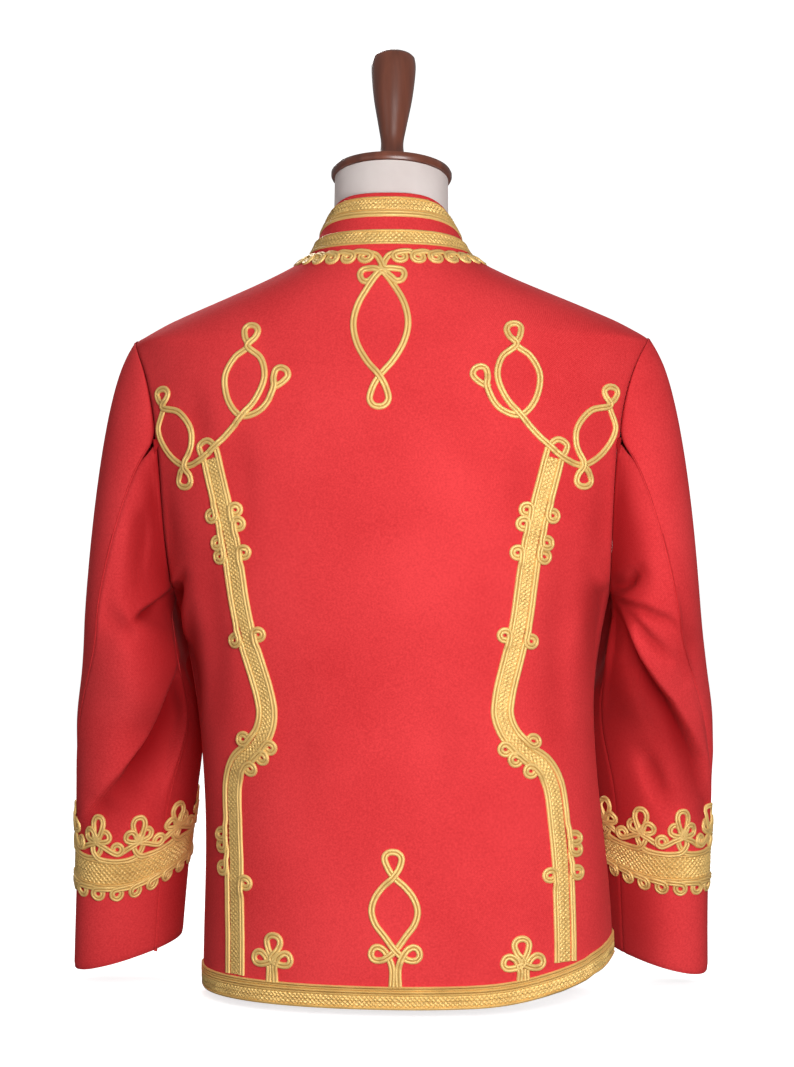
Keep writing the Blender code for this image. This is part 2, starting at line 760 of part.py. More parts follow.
def make_buttons():
    for i in range(BUTTON_COUNT):
        height = BUTTON_TOP - i * BUTTON_STEP
        x, y, z = body_point(math.pi, height, SEAM)
        bulge = [
            (BUTTON_RADIUS * math.cos(a), BUTTON_HEIGHT * (0.3 + 0.7 * math.sin(a))) for a in (1.0, 0.45, 0)
        ]
        profile = [(0, BUTTON_HEIGHT), *bulge, (BUTTON_RADIUS * 0.9, 0), (0, 0)]
        slope = body_point(math.pi, height + 0.01) - body_point(math.pi, height - 0.01)
        tilt = math.pi / 2 - math.atan2(slope[1], slope[2])
        turned(f"button_{i + 1}", profile, "brass", (x, y - 0.0006, z), tilt, steps=10)


# Pieces of braid

def make_hem_band():
    turn = np.radians(np.linspace(-169, 187, 49))
    low, high = (hem_height(turn) + edge for edge in HEM_BAND)
    wall(
        "hem_braid",
        np.stack([body_point(turn, level, BRAID_LIFT + BAND_HEIGHT) for level in (low, high)]),
        np.stack([body_point(turn, level, BRAID_LIFT) for level in (low, high)]),
        "gold_braid",
    )


def make_side_lines(side, mirror):
    """The band down each side of the back, and the cord up one edge, over its top and down the other."""
    line = smooth_line([*SIDE_LINE, (SIDE_LINE[-1][0], SIDE_FOOT[side])], per_span=5)
    half = SIDE_BAND_WIDTH / 2
    few = line[few_of(line)]
    band(f"side_braid_{side}", place_on_back, *(flipped(offset_line(few, d), mirror) for d in (half, -half)))
    reach = half + CORD_WIDTH / 2 + 0.0010
    edges = {"outer": offset_line(line, reach), "inner": offset_line(line, -reach)}
    ends = {}
    for edge, spots in SIDE_EYELETS.items():
        where = {int(np.argmin(np.abs(edges[edge][:, 1] - spot))) for spot in spots}
        ends[edge] = with_eyelets(edges[edge], where, 1 if edge == "outer" else -1, SMALL_EYELET)
    left, right = edges["outer"][0], edges["inner"][0]
    middle = (left + right) / 2 + (0.004, SIDE_ARCH_RISE)
    arch = [tuple(middle + (0.0075, -0.005)), tuple(middle), tuple(middle + (-0.0075, -0.005))]
    path = ends["outer"][::-1] + arch + ends["inner"]
    cord(f"side_cord_{side}", flipped(path, mirror), place_on_back, f"back_{side}")


def make_scroll(side, mirror):
    """One cord that draws two leaves with eyelets over the shoulder blade."""
    path = eyelet(SCROLL_START, 118, (0.0185, 0.0125), 1)[1:]
    path += [SCROLL_START, (0.104, 0.527), SCROLL_BASE, (0.134, 0.533), (0.1385, 0.556), (0.130, 0.573)]
    path.append(SCROLL_TOP)
    path += eyelet(SCROLL_TOP, 100, LARGE_EYELET, -1)
    path += [SCROLL_TOP, (0.106, 0.572), (0.102, 0.556), (0.109, 0.537), SCROLL_BASE, (0.134, 0.507)]
    path += [(0.147, 0.494), (0.162, 0.482), SCROLL_WAIST, (0.192, 0.488), (0.204, 0.510), SCROLL_OUTER_TOP]
    path += eyelet(SCROLL_OUTER_TOP, 85, (0.0165, 0.0115), -1)
    path += [SCROLL_OUTER_TOP, (0.183, 0.526), (0.171, 0.511), (0.170, 0.496), SCROLL_WAIST]
    path += eyelet(SCROLL_WAIST, -88, LARGE_EYELET, -1)
    cord(f"scroll_{side}", flipped(path, mirror), place_on_back, f"back_{side}")


def leaf(foot, tip, width, hand):
    """The two bowed sides of a long leaf, from its foot to its tip and back, without its ends."""
    sides = []
    for sign, shares in ((hand, (0.25, 0.5, 0.75)), (-hand, (0.75, 0.5, 0.25))):
        half = sign * width / 2
        sides.append([(half * math.sin(math.pi * t) ** 0.9, foot + (tip - foot) * t) for t in shares])
    return sides


def make_centre_motifs():
    up, down = leaf(0.648, 0.555, 0.048, 1)
    path = [(-0.001, 0.656), (0.0015, 0.651), *eyelet((0.003, 0.650), -25, (0.0175, 0.0115), -1), (0, 0.648)]
    path += [(-x, z) for x, z in up]
    path += [(0, 0.555), *eyelet((0, 0.555), -90, (0.027, 0.0165), 1), (0, 0.555)]
    path += [(-x, z) for x, z in down]
    path += [(0, 0.648), *eyelet((-0.003, 0.650), -155, (0.0175, 0.0115), 1)]
    cord("centre_motif_upper", path, place_on_back, surface="back_centre")
    up, down = leaf(0.062, 0.121, 0.040, 1)
    path = [(0.003, 0.029), (0.003, 0.044), *eyelet((0.004, 0.052), 15, (0.0175, 0.0115), 1), (0.002, 0.056)]
    path += [(-x, z) for x, z in up]
    path += [(0, 0.121), *eyelet((0, 0.121), 90, (0.0215, 0.0150), -1), (0, 0.121)]
    path += [(-x, z) for x, z in down]
    path += [(-0.002, 0.056), *eyelet((-0.004, 0.052), 165, (0.0175, 0.0115), -1)]
    path += [(-0.003, 0.044), (-0.003, 0.029)]
    cord("centre_motif_lower", path, place_on_back, surface="back_centre")


def make_trefoil(side, mirror):
    x = TREFOIL_ACROSS
    foot = 0.029 if mirror > 0 else 0.034
    path = [(x + 0.003, foot), (x + 0.003, 0.040), *eyelet((x + 0.002, 0.043), 20, (0.0155, 0.0105), 1)]
    path += [(x, 0.046), *eyelet((x, 0.047), 95, (0.0200, 0.0125), -1), (x, 0.046)]
    path += [*eyelet((x - 0.002, 0.043), 160, (0.0155, 0.0105), -1), (x - 0.003, 0.040), (x - 0.003, foot)]
    cord(f"trefoil_{side}", flipped(path, mirror), place_on_back)


def make_neck_chain(side, mirror):
    """A run of eyelets under the collar, from the centre back to the front edge."""
    count = 16 if mirror > 0 else 14
    path = [(0.008, NECK_CHAIN_DROP - 0.001)]
    for i in range(count):
        root = (0.0265 + i * NECK_CHAIN_STEP, NECK_CHAIN_DROP)
        path += [root, *eyelet(root, 82, (0.0110, 0.0100), 1)]
        path.append((root[0] + 0.004, NECK_CHAIN_DROP - 0.001))
    cord(f"neck_chain_{side}", flipped(path, mirror), place_at_neck)


def make_cuff(side, place):
    """The cuff's band, the looped cord under it and the crowned cord over it, all round the sleeve."""
    girth = CUFF_RUN[-1]
    margin = 0.0010
    runs = np.linspace(margin, girth - margin, 33)
    low, high = CUFF_BAND
    band(f"cuff_braid_{side}", place, [(run, low) for run in runs], [(run, high) for run in runs])
    level = low - CORD_WIDTH / 2 - 0.0020
    path = [(0.003, level)]
    for i in range(CUFF_LOOPS):
        root = ((i + 0.5) * girth / CUFF_LOOPS, level)
        path += [root, *eyelet(root, -90, (0.0125, 0.0100), 1), (root[0] + 0.003, level)]
    path.append((girth - 0.003, level))
    cord(f"cuff_lower_cord_{side}", path, place)
    level = high + CORD_WIDTH / 2 + 2 * SEAM
    step = girth / CUFF_CROWNS
    path = [(0.003, level)]
    for i in range(CUFF_CROWNS):
        x = (i + 0.5) * step
        single = (x - 0.42 * step, level + 0.001)
        path += [single, *eyelet(single, 90, (0.0125, 0.0100), -1), (single[0] + 0.004, level)]
        path += [(x - 0.006, level + 0.005), *eyelet((x - 0.002, level + 0.009), 150, (0.0140, 0.0095), -1)]
        path += [(x, level + 0.011), *eyelet((x, level + 0.012), 90, (0.0190, 0.0115), -1)]
        path += [(x + 0.001, level + 0.010), *eyelet((x + 0.002, level + 0.009), 30, (0.0140, 0.0095), -1)]
        path.append((x + 0.007, level + 0.004))
    path.append((girth - 0.003, level))
    cord(f"cuff_upper_cord_{side}", path, place)


def make_braid():
    make_hem_band()
    make_centre_motifs()
    for side, mirror in (("left", 1), ("right", -1)):
        make_side_lines(side, mirror)
        make_scroll(side, mirror)
        make_trefoil(side, mirror)
        make_neck_chain(side, mirror)
        make_cuff(side, place_on_left_cuff if mirror > 0 else place_on_right_cuff)


# The dress form

def make_form():
    turns = np.linspace(0, 2 * math.pi, 22, endpoint=False)
    rings = []
    signed = (turns + math.pi) % (2 * math.pi) - math.pi
    for row in FORM_ROWS:
        ring = dict(zip(FORM_COLUMNS, row))
        level = np.full_like(turns, ring["height"])
        if ring["height"] > SHOULDER_TIP:
            share = (ring["height"] - SHOULDER_TIP) / (NECK_BACK - SHOULDER_TIP)
            level = SHOULDER_TIP + (neck_height(signed) - SHOULDER_TIP) * share
        if ring["height"] < 0.5:
            rings.append(section(turns, level, ring["inset"]))
        else:
            rings.append(section(turns, level) - ring["inset"] * normals_of(section, turns, level))
    for row in NECK_ROWS:
        ring = dict(zip(NECK_COLUMNS, row))
        fore = ring["half_depth"] * np.cos(turns)
        level = ring["height"] + math.tan(math.radians(ring["tilt"])) * fore
        rings.append(np.stack([ring["half_width"] * np.sin(turns), ring["lean"] + fore, level], axis=1))
    tube("form_torso", np.array(rings), "form_linen")
    tilt = math.radians(ring["tilt"])
    lean = ring["lean"]
    lift = SEAM / math.cos(tilt)
    seat = (0, lean, ring["height"] + lift)
    edge = CAP_THICK / 3
    rim = [(CAP_RADIUS - edge, CAP_THICK), (CAP_RADIUS, CAP_THICK - edge), (CAP_RADIUS, edge)]
    rim.append((CAP_RADIUS - edge, 0))
    turned("form_cap", [(0, CAP_THICK), *rim, (0, 0)], "dark_wood", seat, tilt)
    profile = [(0, 0.1130), (0.013, 0.1122), (0.0180, 0.1100), (0.0202, 0.1045), (0.0203, 0.0940)]
    profile += [(0.0178, 0.0700), (0.0130, 0.0430), (0.0104, 0.0270), (0.0112, 0.0175), (0.0150, 0.0095)]
    profile.append((0.0168, 0.0060))
    profile += [(0.0170, 0.0), (0, 0)]
    along = CAP_THICK + SEAM
    perch = (0, lean - along * math.sin(tilt), seat[2] + along * math.cos(tilt))
    turned("form_finial", profile, "dark_wood", perch, tilt)


clear_scene()
PARTS = bpy.data.collections.new("military_jacket_on_form")
bpy.context.scene.collection.children.link(PARTS)
ROOT = bpy.data.objects.new("jacket_root", None)
ROOT.location = CENTRE_SHIFT
PARTS.objects.link(ROOT)
make_form()
make_body()
make_sleeves()
make_collar()
make_buttons()
make_braid()
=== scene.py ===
import math

import bpy
import numpy as np
from mathutils import Matrix, Vector
from mathutils.bvhtree import BVHTree
from mathutils.kdtree import KDTree


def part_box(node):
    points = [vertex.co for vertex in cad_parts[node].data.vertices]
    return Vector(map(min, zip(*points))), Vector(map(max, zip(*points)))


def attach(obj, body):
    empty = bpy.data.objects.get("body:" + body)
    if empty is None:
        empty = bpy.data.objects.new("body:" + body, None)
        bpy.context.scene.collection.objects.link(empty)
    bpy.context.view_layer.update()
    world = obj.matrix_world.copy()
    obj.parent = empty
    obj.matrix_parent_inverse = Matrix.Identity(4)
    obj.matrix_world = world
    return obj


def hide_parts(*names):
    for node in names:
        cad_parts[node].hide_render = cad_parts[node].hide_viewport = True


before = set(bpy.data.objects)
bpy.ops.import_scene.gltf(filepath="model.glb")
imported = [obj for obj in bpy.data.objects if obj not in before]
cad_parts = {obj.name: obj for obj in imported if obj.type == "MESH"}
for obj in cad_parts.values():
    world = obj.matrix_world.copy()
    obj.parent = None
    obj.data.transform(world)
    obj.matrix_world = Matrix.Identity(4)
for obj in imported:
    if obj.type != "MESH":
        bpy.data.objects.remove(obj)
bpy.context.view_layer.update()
print("frame loaded:", len(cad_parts), "nodes")


# Small tools

def letGo():
    if bpy.context.mode != "OBJECT":
        bpy.ops.object.mode_set(mode="OBJECT")
    bpy.ops.object.select_all(action="DESELECT")


def takeUp(piece):
    letGo()
    piece.select_set(True)
    bpy.context.view_layer.objects.active = piece


def applied(piece, kind, **values):
    takeUp(piece)
    modifier = piece.modifiers.new(kind.lower(), kind)
    for key, value in values.items():
        setattr(modifier, key, value)
    bpy.ops.object.modifier_apply(modifier=modifier.name)


def pointsOf(piece):
    points = np.empty(len(piece.data.vertices) * 3, np.float32)
    piece.data.vertices.foreach_get("co", points)
    return points.reshape(-1, 3).astype(float)


def normalsOf(piece):
    normals = np.empty(len(piece.data.vertices) * 3, np.float32)
    piece.data.vertex_normals.foreach_get("vector", normals)
    return normals.reshape(-1, 3).astype(float)


def movePoints(piece, points):
    piece.data.vertices.foreach_set("co", points.astype(np.float32).ravel())
    piece.data.update()


def ease(t):
    t = np.clip(t, 0, 1)
    return t * t * (3 - 2 * t)


def runOf(line):
    # how far along a line each of its points is
    return np.concatenate([[0], np.cumsum(np.linalg.norm(np.diff(line, axis=0), axis=1))])


def paired(found):
    spots, outs = zip(*found)
    return np.array(spots), np.array(outs)


def unit(vectors):
    return vectors / np.maximum(np.linalg.norm(vectors, axis=-1, keepdims=True), 1e-12)


def outlineOf(piece):
    # points on the open edges of a sheet
    pairs = {}
    for face in piece.data.polygons:
        for key in face.edge_keys:
            pairs[key] = pairs.get(key, 0) + 1
    edge = sorted({i for key, count in pairs.items() if count == 1 for i in key})
    return np.array(edge), pointsOf(piece)[edge]


def treeOf(*pieces):
    points, faces = [], []
    for piece in pieces:
        start = len(points)
        points += [tuple(p) for p in pointsOf(piece)]
        faces += [[start + i for i in face.vertices] for face in piece.data.polygons]
    return BVHTree.FromPolygons(points, faces)


def setOnBody(piece, material, slotName, *nodes):
    piece.data.materials.clear()
    for one in material if isinstance(material, (list, tuple)) else [material]:
        piece.data.materials.append(one)
    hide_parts(*nodes)
    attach(piece, "root")


# Finishes

def nodesFor(name):
    material = bpy.data.materials.new(name)
    material.use_nodes = True
    tree = material.node_tree
    return material, tree, tree.nodes["Principled BSDF"]


def addNode(tree, kind, inputs=None, **settings):
    node = tree.nodes.new("ShaderNode" + kind)
    for key, value in settings.items():
        setattr(node, key, value)
    for key, value in (inputs or {}).items():
        if isinstance(value, bpy.types.NodeSocket):
            tree.links.new(value, node.inputs[key])
        else:
            node.inputs[key].default_value = value
    return node


def maths(tree, operation, *values):
    node = addNode(tree, "Math", operation=operation)
    for i, value in enumerate(values):
        if isinstance(value, bpy.types.NodeSocket):
            tree.links.new(value, node.inputs[i])
        else:
            node.inputs[i].default_value = value
    return node.outputs[0]


def mixColour(tree, share, first, second):
    node = addNode(tree, "Mix", data_type="RGBA")
    colours = [s for s in node.inputs if s.type == "RGBA"]
    for socket, value in zip([node.inputs[0], *colours], (share, first, second)):
        if isinstance(value, bpy.types.NodeSocket):
            tree.links.new(value, socket)
        else:
            socket.default_value = value
    return [s for s in node.outputs if s.type == "RGBA"][0]


def noiseOf(tree, where, scale, detail=2.0):
    return addNode(tree, "TexNoise", {"Vector": where, "Scale": scale, "Detail": detail}).outputs["Fac"]


def setInputs(shader, values):
    for name, value in values.items():
        shader.inputs[name].default_value = value


def roughen(tree, shader, height, strength, distance=0.0003):
    bump = addNode(tree, "Bump", {"Strength": strength, "Distance": distance, "Height": height})
    tree.links.new(bump.outputs["Normal"], shader.inputs["Normal"])


redWool = {
    "lit": (0.775, 0.0530, 0.0580, 1),
    "deep": (0.545, 0.0230, 0.0270, 1),
    # dark red of the painted shade in creases and between a sleeve and the body
    "creaseShade": (0.270, 0.0040, 0.0060, 1),
    "twill": 0.0016,
    "roughness": 0.92,
    "sheen": 0.02,
}


def makeRedWool():
    material, tree, shader = nodesFor("redWool")
    grain = addNode(tree, "UVMap", uv_map="grain").outputs["UV"]
    place = addNode(tree, "TexCoord").outputs["Object"]
    part = addNode(tree, "SeparateXYZ", {"Vector": grain})
    slant = maths(tree, "ADD", part.outputs["X"], part.outputs["Y"])
    rib = maths(tree, "SINE", maths(tree, "MULTIPLY", slant, 2 * math.pi / redWool["twill"]))
    rib = maths(tree, "MULTIPLY_ADD", rib, 0.5, 0.5)
    fuzz = noiseOf(tree, place, 620, 4)
    cloud = noiseOf(tree, place, 9, 3)
    tone = maths(tree, "MULTIPLY_ADD", fuzz, 1.30, maths(tree, "MULTIPLY_ADD", cloud, 1.20, -0.825))
    # the twill's valleys are painted darker as shade; the noises give random tone
    tone = maths(tree, "MULTIPLY_ADD", rib, 0.30, tone)
    colour = mixColour(tree, tone, redWool["deep"], redWool["lit"])
    # painted shade: the fold attribute darkens the wool in creases and where a sleeve lies near the body
    fold = addNode(tree, "Attribute", attribute_name="fold").outputs["Fac"]
    tree.links.new(mixColour(tree, fold, colour, redWool["creaseShade"]), shader.inputs["Base Color"])
    height = maths(tree, "MULTIPLY_ADD", rib, 0.6, fuzz)
    roughen(tree, shader, height, 0.35)
    setInputs(shader, {"Roughness": redWool["roughness"], "Specular IOR Level": 0.12})
    setInputs(shader, {"Sheen Weight": redWool["sheen"], "Sheen Roughness": 0.45})
    setInputs(shader, {"Sheen Tint": (1.0, 0.45, 0.42, 1)})
    return material


goldThread = {
    "bright": (0.950, 0.650, 0.230, 1),
    # the colour of the low grooves and holes: painted shade
    "dark": (0.400, 0.180, 0.030, 1),
    "metal": 0.28,
    "roughness": 0.42,
    "thread": 0.0013,
    "lattice": 0.0041,     # from strand to strand along a band
    "cuffLattice": 0.0046,
    "strandEdge": (0.62, 0.94),   # where a strand rises, as a share of the way to its middle
}


def goldSurface(name, heightOf, bright, dark, depth):
    material, tree, shader = nodesFor(name)
    lay = addNode(tree, "UVMap", uv_map="lay").outputs["UV"]
    place = addNode(tree, "TexCoord").outputs["Object"]
    part = addNode(tree, "SeparateXYZ", {"Vector": lay})
    height = heightOf(tree, part.outputs["X"], part.outputs["Y"])
    worn = noiseOf(tree, place, 45, 3)
    # the gold darkens where its threads lie low: painted shade in grooves and holes; the noise gives random
    # wear
    tone = maths(tree, "MULTIPLY_ADD", height, 0.95, maths(tree, "MULTIPLY_ADD", worn, 0.5, -0.26))
    tree.links.new(mixColour(tree, tone, dark, bright), shader.inputs["Base Color"])
    roughen(tree, shader, height, 0.8, depth)
    rough = maths(tree, "MULTIPLY_ADD", worn, 0.25, goldThread["roughness"] - 0.10)
    tree.links.new(rough, shader.inputs["Roughness"])
    setInputs(shader, {"Metallic": goldThread["metal"]})
    return material


def slantedThreads(tree, along, across):
    # two ribs, their threads slanting away from the groove between them
    aside = maths(tree, "ABSOLUTE", across)
    turn = maths(tree, "MULTIPLY", maths(tree, "ADD", along, aside), 2 * math.pi / goldThread["thread"])
    wave = maths(tree, "MULTIPLY_ADD", maths(tree, "SINE", turn), 0.5, 0.5)
    # the middle of the groove lies lower, so it is painted darker as shade
    groove = maths(tree, "MINIMUM", maths(tree, "MULTIPLY_ADD", aside, 1 / 0.0012, 0.45), 1.0)
    return maths(tree, "MULTIPLY", maths(tree, "MULTIPLY_ADD", wave, 0.35, 0.65), groove)


def latticeStrands(period):
    # two sets of strands that cross, with a hole in each diamond between them that the low parts fill with
    # painted shade
    def heightOf(tree, along, across):
        strands = []
        for operation in ("ADD", "SUBTRACT"):
            place = maths(tree, "DIVIDE", maths(tree, operation, along, across), period)
            fold = maths(tree, "MULTIPLY", maths(tree, "PINGPONG", place, 0.5), 2.0)
            low, high = goldThread["strandEdge"]
            mapped = addNode(tree, "MapRange", {"Value": fold, "From Min": low, "From Max": high},
                             interpolation_type="SMOOTHSTEP")
            strands.append(mapped.outputs["Result"])
        return maths(tree, "MAXIMUM", *strands)
    return heightOf


def makeLinen():
    material, tree, shader = nodesFor("formLinen")
    place = addNode(tree, "TexCoord").outputs["Object"]
    part = addNode(tree, "SeparateXYZ", {"Vector": place})
    warp = maths(tree, "SINE", maths(tree, "MULTIPLY", part.outputs["X"], 2 * math.pi / 0.0011))
    weft = maths(tree, "SINE", maths(tree, "MULTIPLY", part.outputs["Z"], 2 * math.pi / 0.0011))
    weave = maths(tree, "MULTIPLY", warp, weft)
    cloud = noiseOf(tree, place, 26, 4)
    tone = maths(tree, "MULTIPLY_ADD", weave, 0.12, cloud)
    colour = mixColour(tree, tone, (0.60, 0.51, 0.485, 1), (0.80, 0.73, 0.70, 1))
    tree.links.new(colour, shader.inputs["Base Color"])
    roughen(tree, shader, weave, 0.3)
    setInputs(shader, {"Roughness": 0.9, "Sheen Weight": 0.15})
    return material


def makeMahogany():
    material, tree, shader = nodesFor("darkMahogany")
    place = addNode(tree, "TexCoord").outputs["Object"]
    long = addNode(tree, "Mapping", {"Vector": place, "Scale": (1.0, 1.0, 0.10)}).outputs["Vector"]
    streak = noiseOf(tree, long, 170, 5)
    cloud = noiseOf(tree, long, 38, 2)
    tone = maths(tree, "MULTIPLY_ADD", streak, 0.7, maths(tree, "MULTIPLY_ADD", cloud, 0.8, -0.25))
    colour = mixColour(tree, tone, (0.040, 0.0100, 0.0060, 1), (0.260, 0.070, 0.034, 1))
    tree.links.new(colour, shader.inputs["Base Color"])
    roughen(tree, shader, streak, 0.12)
    setInputs(shader, {"Roughness": 0.36, "Coat Weight": 0.35, "Coat Roughness": 0.22})
    return material


def makeBrass():
    material, tree, shader = nodesFor("wornBrass")
    place = addNode(tree, "TexCoord").outputs["Object"]
    worn = noiseOf(tree, place, 240, 4)
    colour = mixColour(tree, worn, (0.52, 0.29, 0.075, 1), (0.88, 0.60, 0.22, 1))
    tree.links.new(colour, shader.inputs["Base Color"])
    tree.links.new(maths(tree, "MULTIPLY_ADD", worn, 0.25, 0.16), shader.inputs["Roughness"])
    setInputs(shader, {"Metallic": 1.0})
    return material


wool = makeRedWool()
# the second colour of each gold is the painted shade of its grooves and holes
cordGold = goldSurface("goldCord", slantedThreads, goldThread["bright"], goldThread["dark"], 0.0003)
bandGold = goldSurface("goldBand", latticeStrands(goldThread["lattice"]), (1.00, 0.75, 0.34, 1),
                       (0.060, 0.020, 0.002, 1), 0.0005)
cuffGold = goldSurface("goldCuff", latticeStrands(goldThread["cuffLattice"]), (0.74, 0.40, 0.065, 1),
                       (0.050, 0.018, 0.002, 1), 0.0005)
linen = makeLinen()
mahogany = makeMahogany()
brass = makeBrass()
print("finishes made")


# Cloth: each panel is the outer side of its solid, smoothed, creased with painted shade in its troughs, and
# given its thickness

cloth = {
    "thickness": 0.0018,
    "smoothing": 3,
    "seamSink": 0.0006,
    "seamFoot": 0.0014,
    "armhole": {"reach": 0.0068, "foot": 0.360, "tip": 0.580, "ease": 0.030, "over": 0.0006, "corner": 0.012},
    # painted shade on a sleeve near the body: how far it reaches and how dark it gets at most
    "nearBodyShade": {"reach": 0.085, "most": 0.85},
    # the inner side of a sleeve leans to the body: its middle and half width in depth, heights and distance
    "lean": {
        "depth": (-0.050, 0.022),
        "to": (0.345, 0.392),
        "left": (0.22, 0.28, 0.014),
        "right": (0.25, 0.32, 0.023),
    },
    "seamTurn": ((0.0006, 0.0005), (0.0003, 0.0016)),   # steps out of and under the edge of a panel
    "panels": (
        ("back", (0, 1, 0)),
        ("front_left", (0, -1, 0)),
        ("front_right", (0, -1, 0)),
        ("collar", (0, 1, 0)),
        ("top_sleeve_left", (1, 0, 0)),
        ("top_sleeve_right", (-1, 0, 0)),
        ("under_sleeve_left", (0, 1, 0)),
        ("under_sleeve_right", (0, 1, 0)),
    ),
}


def copyOfSolid(node, name):
    takeUp(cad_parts[node])
    bpy.ops.object.duplicate()
    piece = bpy.context.object
    piece.name = piece.data.name = name
    piece.parent = None
    for key in list(piece.keys()):
        del piece[key]
    bpy.ops.mesh.customdata_custom_splitnormals_clear()
    bpy.ops.object.mode_set(mode="EDIT")
    bpy.ops.mesh.select_all(action="SELECT")
    bpy.ops.mesh.remove_doubles(threshold=1e-5)
    wide = math.radians(100)
    bpy.ops.mesh.tris_convert_to_quads(face_threshold=wide, shape_threshold=wide, topology_influence=1.5)
    bpy.ops.mesh.select_all(action="DESELECT")
    bpy.ops.object.mode_set(mode="OBJECT")
    return piece


def keepOuterSide(piece, facing):
    way = Vector(facing)
    outer = [face for face in piece.data.polygons if face.normal.dot(way) > 0.6]
    max(outer, key=lambda face: face.center.dot(way)).select = True
    takeUp(piece)
    bpy.ops.object.mode_set(mode="EDIT")
    bpy.ops.mesh.select_mode(type="FACE")
    bpy.ops.mesh.faces_select_linked_flat(sharpness=math.radians(62))
    bpy.ops.mesh.select_all(action="INVERT")
    bpy.ops.mesh.delete(type="FACE")
    bpy.ops.object.mode_set(mode="OBJECT")


